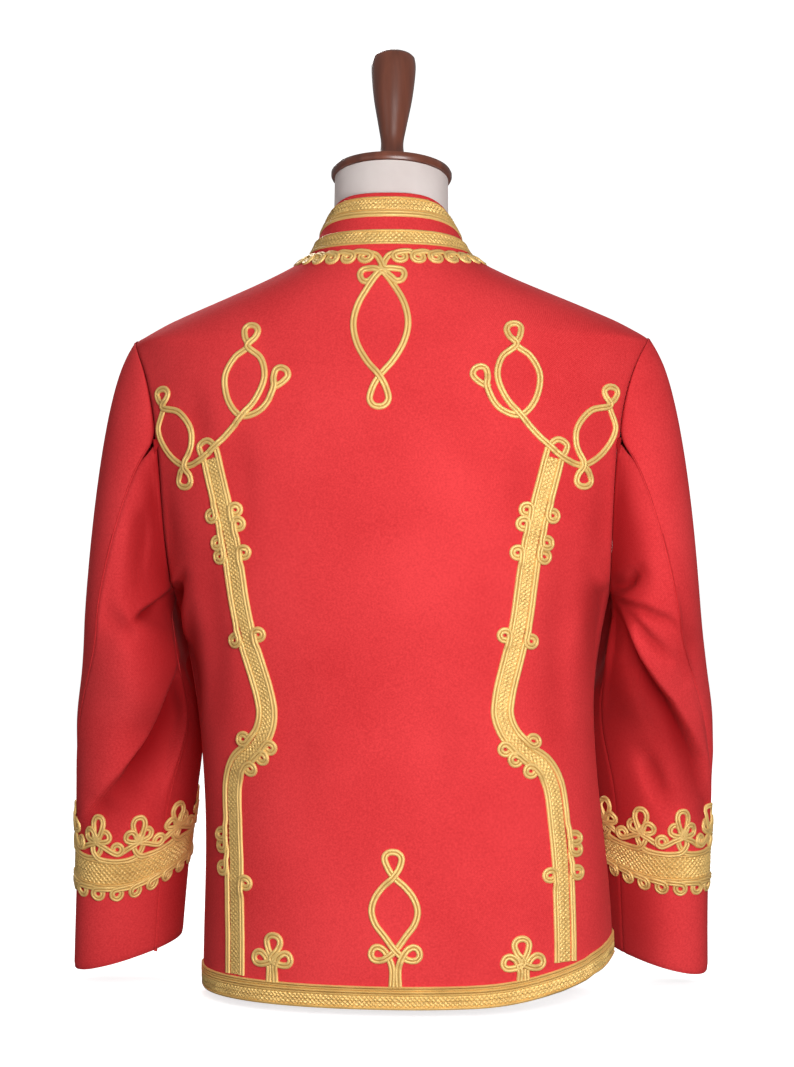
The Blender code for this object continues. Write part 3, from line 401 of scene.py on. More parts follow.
# Creases as seen from behind or from the front: points are (x, z) in metres, depth below 0 is a trough.
# A fold that hangs over has two widths and depths: for the side at the left of its line, and for the right
creases = {
    "lip": 0.0045,
    # trough depth at which the painted shade is darkest
    "fullShadeDepth": 0.0120,
    "behind": (
        {"line": ((0.184, 0.318), (0.193, 0.288), (0.209, 0.254), (0.224, 0.226), (0.244, 0.196),
                  (0.270, 0.169)),
         "width": (0.020, 0.030), "depth": (0.0070, -0.0140)},
        {"line": ((0.236, 0.304), (0.231, 0.268), (0.246, 0.225)), "width": 0.022, "depth": 0.0025},
        {"line": ((0.188, 0.376), (0.200, 0.361), (0.206, 0.354), (0.216, 0.346)),
         "width": (0.012, 0.012), "depth": (0.0045, -0.0125)},
        {"line": ((0.199, 0.338), (0.209, 0.342), (0.218, 0.348), (0.226, 0.355)),
         "width": 0.010, "depth": -0.0055},
        {"line": ((0.213, 0.430), (0.213, 0.412), (0.215, 0.385), (0.216, 0.361)),
         "width": 0.0085, "depth": -0.0065},
        {"line": ((0.246, 0.347), (0.229, 0.333), (0.214, 0.316)), "width": 0.010, "depth": -0.0040},
        {"line": ((0.272, 0.172), (0.256, 0.161)), "width": 0.008, "depth": -0.0022},
        {"line": ((-0.296, 0.172), (-0.284, 0.214), (-0.271, 0.241), (-0.256, 0.268),
                  (-0.243, 0.285), (-0.229, 0.306),
                  (-0.218, 0.330), (-0.204, 0.356)),
         "width": (0.018, 0.030), "depth": (0.0060, -0.0130)},
        {"line": ((-0.203, 0.366), (-0.217, 0.375), (-0.227, 0.384)), "width": 0.0065, "depth": -0.0110},
        {"line": ((-0.258, 0.343), (-0.234, 0.353), (-0.210, 0.360)),
         "width": (0.012, 0.009), "depth": (0.0040, -0.0075)},
        {"line": ((-0.212, 0.351), (-0.229, 0.333), (-0.242, 0.320), (-0.255, 0.307)),
         "width": 0.0060, "depth": -0.0080},
        {"line": ((-0.264, 0.358), (-0.274, 0.323), (-0.269, 0.287)), "width": 0.010, "depth": -0.0045},
        {"line": ((-0.230, 0.218), (-0.243, 0.193), (-0.254, 0.172)), "width": 0.009, "depth": -0.0058},
        {"line": ((0.150, 0.402), (0.143, 0.330), (0.146, 0.252)), "width": 0.012, "depth": -0.0024},
        {"line": ((0.168, 0.382), (0.160, 0.312), (0.161, 0.246)), "width": 0.010, "depth": 0.0020},
        {"line": ((-0.160, 0.406), (-0.154, 0.326), (-0.158, 0.244)), "width": 0.012, "depth": -0.0024},
        {"line": ((-0.178, 0.376), (-0.171, 0.306), (-0.172, 0.250)), "width": 0.010, "depth": 0.0020},
        {"line": ((0.200, 0.468), (0.192, 0.420), (0.186, 0.386)), "width": 0.011, "depth": -0.0022},
        {"line": ((-0.203, 0.472), (-0.197, 0.430), (-0.190, 0.392)), "width": 0.011, "depth": -0.0022},
        {"line": ((0.066, 0.252), (0.060, 0.190)), "width": 0.017, "depth": -0.0014},
        {"line": ((0.120, 0.512), (0.114, 0.470), (0.113, 0.428)), "width": 0.011, "depth": -0.0017},
        {"line": ((0.166, 0.545), (0.158, 0.515), (0.154, 0.486)), "width": 0.010, "depth": -0.0020},
        {"line": ((-0.128, 0.500), (-0.124, 0.452), (-0.127, 0.410)), "width": 0.012, "depth": -0.0015},
        {"line": ((-0.070, 0.262), (-0.064, 0.206)), "width": 0.016, "depth": -0.0012},
    ),
    "front": (
        {"line": ((0.030, 0.512), (0.072, 0.486), (0.118, 0.470)), "width": 0.012, "depth": -0.0018},
        {"line": ((0.160, 0.410), (0.152, 0.330), (0.156, 0.250)), "width": 0.012, "depth": -0.0024},
        {"line": ((-0.158, 0.404), (-0.152, 0.322), (-0.155, 0.262)), "width": 0.012, "depth": -0.0022},
        {"line": ((-0.030, 0.430), (-0.070, 0.412), (-0.112, 0.410)), "width": 0.013, "depth": -0.0015},
        {"line": ((0.028, 0.270), (0.066, 0.252), (0.104, 0.258)), "width": 0.012, "depth": -0.0017},
        {"line": ((-0.028, 0.190), (-0.062, 0.176), (-0.098, 0.184)), "width": 0.013, "depth": -0.0014},
        {"line": ((0.112, 0.190), (0.106, 0.110)), "width": 0.016, "depth": -0.0016},
        {"line": ((-0.118, 0.176), (-0.110, 0.118)), "width": 0.015, "depth": -0.0014},
        {"line": ((0.214, 0.306), (0.240, 0.282), (0.266, 0.284)), "width": 0.010, "depth": -0.0040},
        {"line": ((0.206, 0.276), (0.236, 0.256), (0.258, 0.262)), "width": 0.009, "depth": -0.0030},
        {"line": ((-0.212, 0.300), (-0.238, 0.276), (-0.262, 0.280)), "width": 0.010, "depth": -0.0040},
        {"line": ((-0.210, 0.262), (-0.238, 0.246), (-0.256, 0.250)), "width": 0.009, "depth": -0.0028},
        {"line": ((0.218, 0.430), (0.236, 0.396)), "width": 0.011, "depth": -0.0025},
        {"line": ((-0.220, 0.440), (-0.234, 0.402)), "width": 0.011, "depth": -0.0024},
    ),
}


def creaseLift(points, fold):
    line = np.array(fold["line"])
    flat = points[:, [0, 2]]
    lengths = np.linalg.norm(np.diff(line, axis=0), axis=1)
    starts = np.concatenate([[0], np.cumsum(lengths)])
    best = np.full(len(flat), 9.0)
    share, left = np.zeros(len(flat)), np.zeros(len(flat))
    for i, length in enumerate(lengths):
        run = line[i + 1] - line[i]
        t = np.clip((flat - line[i]) @ run / length ** 2, 0, 1)
        aside = flat - line[i] - t[:, None] * run
        gap = np.linalg.norm(aside, axis=1)
        nearer = gap < best
        best[nearer] = gap[nearer]
        share[nearer] = (starts[i] + t * length)[nearer] / starts[-1]
        left[nearer] = ((run[0] * aside[:, 1] - run[1] * aside[:, 0]) / length)[nearer]
    fade = np.sin(math.pi * (0.12 + 0.76 * share))
    widths, depths = np.broadcast_to(fold["width"], 2), np.broadcast_to(fold["depth"], 2)
    sides = [depth * np.exp(-((best / width) ** 2)) for width, depth in zip(widths, depths)]
    overhang = ease(0.5 + left / (2 * creases["lip"]))
    return fade * (sides[0] * overhang + sides[1] * (1 - overhang))


def putCreases(piece):
    points, normals = pointsOf(piece), normalsOf(piece)
    lift = np.zeros(len(points))
    for side, sign in (("behind", 1), ("front", -1)):
        turned = ease((sign * normals[:, 1] + 0.10) / 0.45)
        for fold in creases[side]:
            lift += turned * creaseLift(points, fold)
    edge, _ = outlineOf(piece)
    calm = ease(np.array(edgeGaps(points, points[edge])) / 0.008)
    movePoints(piece, points + normals * (lift * calm)[:, None])
    # painted shade: each trough's depth, as a share of the full shade depth, is kept in the fold attribute
    # that darkens the wool
    depths = piece.data.attributes.new("fold", "FLOAT", "POINT")
    depths.data.foreach_set("value", np.clip(-lift / creases["fullShadeDepth"], 0, 1).astype(np.float32))


def nearestOf(known):
    tree = KDTree(len(known))
    for i, point in enumerate(known):
        tree.insert(point, i)
    tree.balance()
    return tree


def edgeGaps(points, edge):
    tree = nearestOf(edge)
    return [tree.find(point)[2] for point in points]


def waysOut(piece):
    # the points on a sheet's open edges, and the ways along the sheet that lead out of it
    points, normals = pointsOf(piece), normalsOf(piece)
    owners = {}
    for face in piece.data.polygons:
        for key in face.edge_keys:
            owners.setdefault(key, []).append(face)
    ways = {}
    for (a, b), faces in owners.items():
        if len(faces) == 1:
            way = unit(np.cross(points[b] - points[a], normals[a] + normals[b]))
            if way @ (np.array(faces[0].center) - points[a]) > 0:
                way = -way
            for i in (a, b):
                ways[i] = ways.get(i, 0) + way
    edge = np.array(sorted(ways))
    return edge, unit(np.array([ways[i] for i in edge]))


def rollEdges(piece):
    points, normals = pointsOf(piece), normalsOf(piece)
    edge, ways = waysOut(piece)
    downs = normals[edge]
    points[edge] -= downs * cloth["seamSink"]
    movePoints(piece, points)
    known = points[edge]
    hem = (ways[:, 2] < -0.8) & (known[:, 2] < 0.1)
    lift = np.zeros((len(edge), 3))
    if hem.any():
        # the foot of a seam is drawn up under its neighbour
        near = ease(1 - np.array(edgeGaps(known, known[hem])) / 0.006)
        lift[:, 2] = np.where(hem | (known[:, 2] > 0.1), 0, cloth["seamFoot"] * near)
    for out, down in cloth["seamTurn"]:
        takeUp(piece)
        bpy.ops.object.mode_set(mode="EDIT")
        bpy.ops.mesh.select_mode(type="EDGE")
        bpy.ops.mesh.select_all(action="DESELECT")
        bpy.ops.mesh.select_non_manifold(extend=False, use_wire=False, use_boundary=True,
                                         use_multi_face=False, use_non_contiguous=False, use_verts=False)
        bpy.ops.mesh.extrude_edges_move()
        bpy.ops.object.mode_set(mode="OBJECT")
        points = pointsOf(piece)
        tree = nearestOf(known)
        fresh = [i for i, vertex in enumerate(piece.data.vertices) if vertex.select]
        match = [tree.find(points[i])[1] for i in fresh]
        points[fresh] += ways[match] * out - downs[match] * down + lift[match]
        movePoints(piece, points)
        known = known + ways * out - downs * down + lift


def giveGrain(piece, middleOf, girth):
    # run round the body or sleeve, and height, both in metres
    points = pointsOf(piece)
    middle = middleOf(points[:, 2])
    turn = np.arctan2(points[:, 0] - middle[:, 0], points[:, 1] - middle[:, 1])
    for layer in list(piece.data.uv_layers):
        piece.data.uv_layers.remove(layer)
    layer = piece.data.uv_layers.new(name="grain")
    loops = np.empty(len(piece.data.loops), int)
    piece.data.loops.foreach_get("vertex_index", loops)
    run = turn[loops].reshape(-1, 4)
    run = run - 2 * math.pi * np.round((run - run[:, :1]) / (2 * math.pi))
    flat = np.stack([run.ravel() * girth, points[loops, 2]], axis=1)
    layer.data.foreach_set("uv", flat.astype(np.float32).ravel())


def bodyMiddle(heights):
    return np.zeros((len(heights), 2))


def sleeveMiddle(side):
    sign = 1 if side == "left" else -1

    def middleOf(heights):
        x = sign * np.interp(heights, (0.03, 0.345, 0.6), (0.247, 0.240, 0.215))
        x = x + 0.004 * ease((0.3 - heights) / 0.3)
        y = np.interp(heights, (0.03, 0.19, 0.345), (-0.060, -0.040, 0.0))
        if side == "right":
            y = y - 0.024 * ease((0.36 - heights) / 0.18)
        return np.stack([x, y], axis=1)
    return middleOf


def pull(piece, spots, moves, reach):
    # points near the spots go with them, less and less further off
    tree = nearestOf(spots)
    points = pointsOf(piece)
    for i, point in enumerate(points.copy()):
        near = tree.find_n(point, 5)
        if near[0][2] < reach:
            weights = np.array([1 / (gap + 0.0002) for _, _, gap in near])
            move = weights @ moves[[k for _, k, _ in near]] / weights.sum()
            points[i] += move * ease(1 - near[0][2] / reach)
    movePoints(piece, points)


def sew(nodes, others, foot, tipReach, strict):
    # open edges that face each other across a seam are drawn together
    hole = cloth["armhole"]
    edges = {}
    for node in nodes + others:
        index, ways = waysOut(sheets[node])
        edges[node] = pointsOf(sheets[node])[index], ways
    for movers, fixed in ((nodes, others), (others, nodes)):
        tree = nearestOf(np.concatenate([edges[node][0] for node in fixed]))
        for node in movers:
            spots, moves = [], []
            for point, way in zip(*edges[node]):
                spot, _, gap = tree.find(point)
                across = np.array(spot) - point
                high = point[2] > hole["tip"]
                facing = across @ way > 0.35 * gap if strict else high or abs(across @ way) > 0.35 * gap
                if gap < (tipReach if high else hole["reach"]) and point[2] > foot and facing:
                    spots.append(point)
                    moves.append(across * (0.5 + 0.5 * hole["over"] / max(gap, hole["over"])))
            if spots:
                pull(sheets[node], spots, np.array(moves), hole["ease"])


def sewArmholes():
    hole = cloth["armhole"]
    for side in ("left", "right"):
        sew(("back",), ("front_" + side,), hole["tip"], hole["corner"], True)
        sleeve = ("top_sleeve_" + side, "under_sleeve_" + side)
        sew(sleeve, ("back", "front_" + side), hole["foot"], hole["corner"], False)
        print("armhole sewn at the", side)


def paintShadeNearBody(piece, tree, sign):
    # painted shade: cloth on a sleeve that faces the body and lies near it is darkened through the fold
    # attribute
    points, normals = pointsOf(piece), normalsOf(piece)
    nearBodyShade = cloth["nearBodyShade"]
    depths = piece.data.attributes["fold"]
    known = np.empty(len(points), np.float32)
    depths.data.foreach_get("value", known)
    gaps = np.array([tree.find_nearest(Vector(point))[3] for point in points])
    inner = ease((-sign * normals[:, 0] + 0.15) / 0.6)
    deep = nearBodyShade["most"] * inner * ease(1 - gaps / nearBodyShade["reach"])
    depths.data.foreach_set("value", np.maximum(known, deep).astype(np.float32))


def leanIn(piece, side, sign):
    lean = cloth["lean"]
    low, full, reach = lean[side]
    high, end = lean["to"]
    middle, half = lean["depth"]
    points, normals = pointsOf(piece), normalsOf(piece)
    level = ease((points[:, 2] - low) / (full - low)) * ease((end - points[:, 2]) / (end - high))
    inner = ease(-sign * normals[:, 0] / 0.5)
    points[:, 0] -= sign * reach * level * inner * np.exp(-(((points[:, 1] - middle) / half) ** 2))
    movePoints(piece, points)


girths = {"sleeve": 0.055, "body": 0.16}   # radius that turns an angle into a run of cloth
sheets = {}
for node, facing in cloth["panels"]:
    piece = copyOfSolid(node, "cloth_" + node)
    keepOuterSide(piece, facing)
    applied(piece, "SUBSURF", levels=cloth["smoothing"], render_levels=cloth["smoothing"],
            boundary_smooth="PRESERVE_CORNERS")
    sheets[node] = piece
sewArmholes()
trunk = treeOf(sheets["back"], sheets["front_left"], sheets["front_right"])
for node, piece in sheets.items():
    side = node.rsplit("_", 1)[-1]
    sign = 1 if side == "left" else -1
    if "sleeve" in node:
        leanIn(piece, side, sign)
    if node != "collar":
        putCreases(piece)
    if "sleeve" in node:
        # painted shade where the sleeve faces the body
        paintShadeNearBody(piece, trunk, sign)
    rollEdges(piece)
    if "sleeve" in node:
        giveGrain(piece, sleeveMiddle(side), girths["sleeve"])
    else:
        giveGrain(piece, bodyMiddle, girths["body"])


# Where braid lies: each place takes flat points in metres and gives spots on the cloth and outward normals

backMiddle = {
    "height": (0.0, 0.06, 0.13, 0.20, 0.26, 0.315, 0.365),
    "across": (-0.0187, -0.0187, -0.0167, -0.0117, -0.0067, -0.0047, -0.0037),
}
bodyAxis = (-0.0037, 0.0023)
bodyTree = treeOf(sheets["back"], sheets["front_left"], sheets["front_right"])
collarTree = treeOf(sheets["collar"])


def hit(tree, start, way, near):
    # a ray that slips through a seam meets the far panel from inside, and is set aside
    spot, out, _, _ = tree.ray_cast(Vector(start), Vector(way))
    if spot is None or out.dot(Vector(way)) > 0:
        spot, out, _, _ = tree.find_nearest(Vector(near))
    return spot, out


def onBack(flat):
    found = []
    for across, height in flat:
        x = across + np.interp(height, backMiddle["height"], backMiddle["across"])
        found.append(hit(bodyTree, (x, 0.5, height), (0, -1, 0), (x, 0.05, height)))
    return paired(found)


def turnsOf(points):
    return np.arctan2(points[:, 0] - bodyAxis[0], points[:, 1] - bodyAxis[1])


def edgeRound(points, low):
    # a line round the body through edge points, one for each few degrees: (turns, points)
    bins = np.radians(np.arange(-180, 181, 3))
    turns = turnsOf(points)
    line = []
    for turn in bins:
        gap = np.abs((turns - turn + math.pi) % (2 * math.pi) - math.pi)
        near = points[gap < math.radians(2.2)]
        near = near[np.abs(near[:, 2] - (near[:, 2].min() if low else near[:, 2].max())) < 0.003]
        line.append(near.mean(axis=0))
    return bins, np.array(line)


bodyEdges = np.concatenate([outlineOf(sheets[name])[1] for name in ("back", "front_left", "front_right")])
hemTurns, hemLine = edgeRound(bodyEdges[bodyEdges[:, 2] < 0.07], True)
fromAxis = np.hypot(bodyEdges[:, 0] - bodyAxis[0], bodyEdges[:, 1] - bodyAxis[1])
neckTurns, neckLine = edgeRound(bodyEdges[(fromAxis < 0.10) & (bodyEdges[:, 2] > 0.60)], False)
collarEdges = outlineOf(sheets["collar"])[1]
footTurns, footLine = edgeRound(collarEdges, True)
topTurns, topLine = edgeRound(collarEdges, False)


def lineAt(turn, turns, line):
    turn = (np.asarray(turn) + math.pi) % (2 * math.pi) - math.pi
    return np.stack([np.interp(turn, turns, line[:, k]) for k in range(3)], axis=-1)


def runsAlong(points, turns):
    run = runOf(points)
    return run - np.interp(0, turns, run)


roundTurns = np.radians(np.linspace(-195, 195, 781))
neckRuns = runsAlong(lineAt(roundTurns, neckTurns, neckLine), roundTurns)
hemRuns = runsAlong(lineAt(roundTurns, hemTurns, hemLine), roundTurns)


def atNeck(flat):
    # flat points are (run along the neckline from the centre back, drop below it)
    found = []
    for run, drop in flat:
        turn = np.interp(run, neckRuns, roundTurns)
        x, y, z = lineAt(turn, neckTurns, neckLine)
        near = (x + 0.85 * drop * math.sin(turn), y + 0.85 * drop * math.cos(turn), z - 0.53 * drop)
        spot, out, _, _ = bodyTree.find_nearest(Vector(near))
        found.append((spot, out))
    return paired(found)


def onHem(flat):
    # flat points are (run along the hem from the centre back, height above it)
    found = []
    for run, height in flat:
        turn = np.interp(run, hemRuns, roundTurns)
        x, y, z = lineAt(turn, hemTurns, hemLine)
        way = Vector((math.sin(turn), math.cos(turn), 0))
        start = Vector((bodyAxis[0], bodyAxis[1], z + height)) + 0.5 * way
        found.append(hit(bodyTree, start, -way, (x, y, z + height)))
    return paired(found)


def onCollar(flat):
    # flat points are (run round the neck from the centre back, share of the collar's height)
    found = []
    for run, share in flat:
        turn = run / collarBraid["girth"]
        spot = lineAt(turn, footTurns, footLine) * (1 - share) + lineAt(turn, topTurns, topLine) * share
        near, out, _, _ = collarTree.find_nearest(Vector(spot))
        found.append((near, out))
    return paired(found)


cuffs = {
    "edge": 0.026,
    "band": (0.086, 0.108),
    "yaw": 31,
    "seam": -36,
    "slopeAt": (0.0, 0.074, 0.114, 0.164),
    "slope": (0.015, 0.011, 0.008, 0.004),
    "sag": {"left": 0.016, "right": 0.005},
    "sagTurn": 75,
    "loops": 18,
    "crowns": 8,
    "cord": 0.0052,
}


def cuffPlace(side):
    tree = treeOf(sheets["top_sleeve_" + side], sheets["under_sleeve_" + side])
    middleOf = sleeveMiddle(side)
    sign = 1 if side == "left" else -1

    def spotAt(angle, height):
        slope = np.interp(height, cuffs["slopeAt"], cuffs["slope"])
        sag = cuffs["sag"][side] * math.cos(angle - math.radians(cuffs["sagTurn"]))
        level = cuffs["edge"] + height - sag - slope * math.cos(angle)
        x, y = middleOf(np.array([level]))[0]
        turn = angle + math.radians(cuffs["yaw"])
        way = Vector((sign * math.cos(turn), math.sin(turn), 0))
        middle = Vector((x, y, level))
        return hit(tree, middle + 0.2 * way, -way, middle + 0.05 * way)

    angles = np.radians(np.linspace(cuffs["seam"], cuffs["seam"] + 360, 361))
    ring = np.array([spotAt(angle, sum(cuffs["band"]) / 2)[0] for angle in angles])
    runs = runOf(ring)

    def place(flat):
        return paired([spotAt(np.interp(run, runs, angles), height) for run, height in flat])
    return place, runs[-1]


# Drawing cords

def smoothLine(points, perSpan=12):
    points = np.array(points, float)
    gaps = np.sqrt(np.linalg.norm(np.diff(points, axis=0), axis=1))
    at = np.concatenate([[0], np.cumsum(gaps)])
    rates = np.gradient(points, at, axis=0)
    line = []
    for i in range(len(gaps)):
        t = np.linspace(0, 1, perSpan, endpoint=False)[:, None]
        line.append(
            points[i] * (1 + 2 * t) * (1 - t) ** 2
            + points[i + 1] * t * t * (3 - 2 * t)
            + gaps[i] * (rates[i] * t * (1 - t) ** 2 - rates[i + 1] * t * t * (1 - t))
        )
    return np.concatenate([*line, points[-1:]])


def evenly(line, step):
    run = runOf(line)
    at = np.linspace(0, run[-1], math.ceil(run[-1] / step) + 1)
    return np.stack([np.interp(at, run, line[:, k]) for k in range(2)], axis=1)


def offsetLine(line, distance):
    along = unit(np.gradient(line, axis=0))
    return line + distance * np.stack([-along[:, 1], along[:, 0]], axis=1)


def eyelet(root, heading, size, hand):
    length, width = size
    t = np.array([0.13, 0.28, 0.42, 0.58, 0.72, 0.87])
    ahead, aside = length * np.sin(math.pi * t), hand * width / 2 * np.sin(2 * math.pi * t)
    a = math.radians(heading)
    x = root[0] + ahead * math.cos(a) - aside * math.sin(a)
    z = root[1] + ahead * math.sin(a) + aside * math.cos(a)
    return list(zip(x, z))


def coil(root, heading, radius, hand):
    # a round loop: the cord turns once about a point at one hand of its way, 1 for the left
    a = math.radians(heading)
    middle = np.array(root) + hand * radius * np.array((-math.sin(a), math.cos(a)))
    turns = [hand * k * math.pi / 4 - hand * math.pi / 2 + a for k in range(1, 8)]
    return [tuple(middle + radius * np.array((math.cos(t), math.sin(t)))) for t in turns]


def withCoils(line, where, side, radius):
    path = []
    for i, point in enumerate(line):
        path.append(tuple(point))
        if i in where:
            along = line[min(i + 1, len(line) - 1)] - line[max(i - 1, 0)]
            heading = math.degrees(math.atan2(along[1], along[0]))
            path += coil(point, heading, radius, side)
            path.append(tuple(point + 0.12 * along))
    return path


def flipped(path, mirror):
    return np.array(path) * (mirror, 1)


cords = {
    "width": 0.0060,
    "height": 0.0019,
    "step": 0.0011,
    "sunk": 0.0002,
    "over": 0.0014,       # rise where a cord crosses another
    "overRun": 0.0040,
    "shape": ((-1, 0), (-0.95, 0.55), (-0.78, 0.92), (-0.50, 1), (-0.24, 0.92), (-0.09, 0.72), (0, 0.56),
              (0.09, 0.72), (0.24, 0.92), (0.50, 1), (0.78, 0.92), (0.95, 0.55), (1, 0)),
}
laidLines = {}


def crossingLifts(line, surface):
    run = runOf(line)
    over = []
    for i, point in enumerate(line):
        near = (np.linalg.norm(line[:i] - point, axis=1) < 0.8 * cords["width"]) & (run[i] - run[:i] > 0.011)
        met = near.any()
        for other in laidLines.get(surface, []):
            met = met or (np.linalg.norm(other - point, axis=1) < 0.8 * cords["width"]).any()
        if met:
            over.append(run[i])
    laidLines.setdefault(surface, []).append(line)
    if not over:
        return np.zeros(len(line))
    gaps = np.abs(run[:, None] - np.array(over)[None]).min(axis=1)
    return cords["over"] * np.exp(-((gaps / cords["overRun"]) ** 2))


def loft(name, rings, runs, acrosses, zones):
    # rings of points, closed round; zones gives each column of faces its finish
    rows, columns = rings.shape[:2]
    rings = np.concatenate([rings, rings[:, :1]], axis=1)
    letGo()
    bpy.ops.mesh.primitive_grid_add(x_subdivisions=columns, y_subdivisions=rows - 1, size=2)
    piece = bpy.context.object
    piece.name = piece.data.name = name
    flat = pointsOf(piece)
    column = np.round((flat[:, 0] + 1) / 2 * columns).astype(int)
    row = np.round((flat[:, 1] + 1) / 2 * (rows - 1)).astype(int)
    movePoints(piece, rings[row, column])
    for layer in list(piece.data.uv_layers):
        piece.data.uv_layers.remove(layer)
    lay = piece.data.uv_layers.new(name="lay")
    loops = np.empty(len(piece.data.loops), int)
    piece.data.loops.foreach_get("vertex_index", loops)
    strip = np.repeat(column[loops].reshape(-1, 4).min(axis=1), 4)
    last = column[loops] > strip
    across = np.array([acrosses[s][int(e)] for s, e in zip(strip, last)])
    uv = np.stack([runs[row[loops]], across], axis=1)
    lay.data.foreach_set("uv", uv.astype(np.float32).ravel())
    piece.data.polygons.foreach_set("material_index", np.array([zones[s] for s in strip[::4]], np.int32))
    takeUp(piece)
    bpy.ops.object.mode_set(mode="EDIT")
    bpy.ops.mesh.select_all(action="SELECT")
    bpy.ops.mesh.remove_doubles(threshold=1e-6)
    bpy.ops.mesh.fill_holes(sides=0)
    bpy.ops.mesh.select_all(action="SELECT")
    bpy.ops.mesh.normals_make_consistent(inside=False)
    bpy.ops.object.mode_set(mode="OBJECT")
    bpy.ops.object.shade_smooth_by_angle(angle=math.radians(65))
    return piece


def calmed(vectors, reach=3):
    padded = np.concatenate([vectors[:1]] * reach + [vectors] + [vectors[-1:]] * reach)
    return unit(sum(padded[i:i + len(vectors)] for i in range(2 * reach + 1)))


def layCord(node, path, place, surface, width=cords["width"]):
    line = evenly(smoothLine(path), cords["step"])
    lifts = crossingLifts(line, surface)
    spots, outs = place(line)
    outs = calmed(outs)
    along = unit(np.gradient(spots, axis=0))
    aside = unit(np.cross(outs, along))
    shape = np.array(cords["shape"])
    across = shape[:, 0] * width / 2
    rise = shape[:, 1] * cords["height"] - cords["sunk"]
    rings = spots[:, None] + aside[:, None] * across[None, :, None]
    rings = rings + outs[:, None] * (lifts[:, None] + rise)[..., None]
    runs = runOf(spots)
    pairs = [(across[i], across[(i + 1) % len(across)]) for i in range(len(across))]
    piece = loft("braid_" + node, rings, runs, pairs, [0] * len(pairs))
    setOnBody(piece, cordGold, "gold_braid", node)
    return piece


# Zones across a band of braid: (share of the zone, height)
bandShapes = {
    "rib": ((0, 0.2), (0.2, 0.85), (0.5, 1), (0.8, 0.85), (1, 0.2)),
    "double": ((0, 0.15), (0.1, 0.7), (0.26, 1), (0.42, 0.8), (0.5, 0.25),
               (0.58, 0.8), (0.74, 1), (0.9, 0.7), (1, 0.15)),
}
bandSteps = {"across": 0.00060, "along": 0.00080}


def zoneShape(kind, width):
    if kind != "weave":
        return [(share, rise, 0) for share, rise in bandShapes[kind]]
    count = math.ceil(width / bandSteps["across"])
    inner = [(i / count, 0.18, 0.72) for i in range(1, count)]
    return [(0, 0.2, 0), *inner, (1, 0.2, 0)]


def bandColumns(zones, height):
    # column by column: distance across, height, relief of the weave, finish, distances from the zone's middle
    offsets, rises, reliefs, middles, finishes, pairs = [], [], [], [], [], []
    start = 0.0
    for kind, width in zones:
        shape = zoneShape(kind, width)
        for i, (share, rise, relief) in enumerate(shape):
            if offsets and i == 0:
                continue
            if offsets:
                finishes.append(1 if kind == "weave" else 0)
                pairs.append(((shape[i - 1][0] - 0.5) * width, (share - 0.5) * width))
            offsets.append(start + share * width)
            rises.append(rise * height)
            reliefs.append(relief * height)
            middles.append((share - 0.5) * width)
        start += width
    finishes.append(0)
    pairs.append((0.0, 0.0))
    return {"offset": np.array(offsets), "rise": np.array(rises), "relief": np.array(reliefs),
            "middle": np.array(middles), "finish": finishes, "pairs": pairs}


def latticeHeight(run, across, period):
    strands = []
    low, high = goldThread["strandEdge"]
    for place in (run + across, run - across):
        fold = 1 - np.abs(2 * ((place / period) % 1) - 1)
        strands.append(ease((fold - low) / (high - low)))
    return np.maximum(*strands)


def layBand(node, flat, columns, runs, place, weave, period):
    spots, outs = place(flat.reshape(-1, 2))
    spots, outs = spots.reshape(*flat.shape[:2], 3), calmed(outs.reshape(*flat.shape[:2], 3), 6)
    level = 0.5 * (np.roll(spots, 5, axis=0) + np.roll(spots, -5, axis=0))
    dips = ((level - spots) * outs).sum(axis=-1)
    dips[:5] = dips[-5:] = 0
    spots = spots + outs * np.where((dips > 0.0004) & (dips < 0.004), dips, 0)[..., None]
    weaving = latticeHeight(runs[:, None], columns["middle"][None], period)
    rise = columns["rise"] - cords["sunk"] + columns["relief"] * weaving
    piece = loft("braid_" + node, spots + outs * rise[..., None], runs, columns["pairs"], columns["finish"])
    setOnBody(piece, [cordGold, weave], "gold_braid", node)
    return piece


def straightBand(node, ends, low, zones, height, place, weave, period, toFlat=None):
    # a band whose rows stand square to its run, from a low edge upwards
    columns = bandColumns(zones, height)
    runs = np.linspace(*ends, math.ceil((ends[1] - ends[0]) / bandSteps["along"]))
    levels = low + columns["offset"] if toFlat is None else toFlat(columns["offset"])
    flat = np.stack(np.meshgrid(runs, levels, indexing="ij"), axis=-1)
    return layBand(node, flat, columns, runs, place, weave, period)


# Hem and collar

hemBraid = {
    "low": 0.0004,
    "height": 0.0020,
    "zones": (("rib", 0.0016), ("weave", 0.0096), ("double", 0.0044), ("double", 0.0040)),
}
collarBraid = {
    "girth": 0.066,
    "height": 0.0018,
    "upper": (0.60, 0.955, (("double", 6.0), ("rib", 1.3), ("weave", 9.6), ("rib", 1.5))),
    "lower": (0.11, 0.37, (("rib", 1.9), ("weave", 8.4), ("rib", 1.8))),
}

hemEnds = np.interp(np.radians((-169, 187)), roundTurns, hemRuns)
straightBand("hem_braid", hemEnds, hemBraid["low"], hemBraid["zones"], hemBraid["height"], onHem, bandGold,
             goldThread["lattice"])
for name in ("upper", "lower"):
    low, high, parts = collarBraid[name]
    total = sum(width for _, width in parts)
    zones = [(kind, width / 1000) for kind, width in parts]

    def toShare(offsets, low=low, high=high, total=total):
        return low + (high - low) * offsets * 1000 / total
    reach = (math.pi - 0.012) * collarBraid["girth"]
    straightBand("collar_braid_" + name, (-reach, reach), 0, zones, collarBraid["height"], onCollar, bandGold,
                 goldThread["lattice"], toShare)
print("hem and collar braid laid")


# Centre motifs, side lines, scrolls, trefoils and the chain under the collar

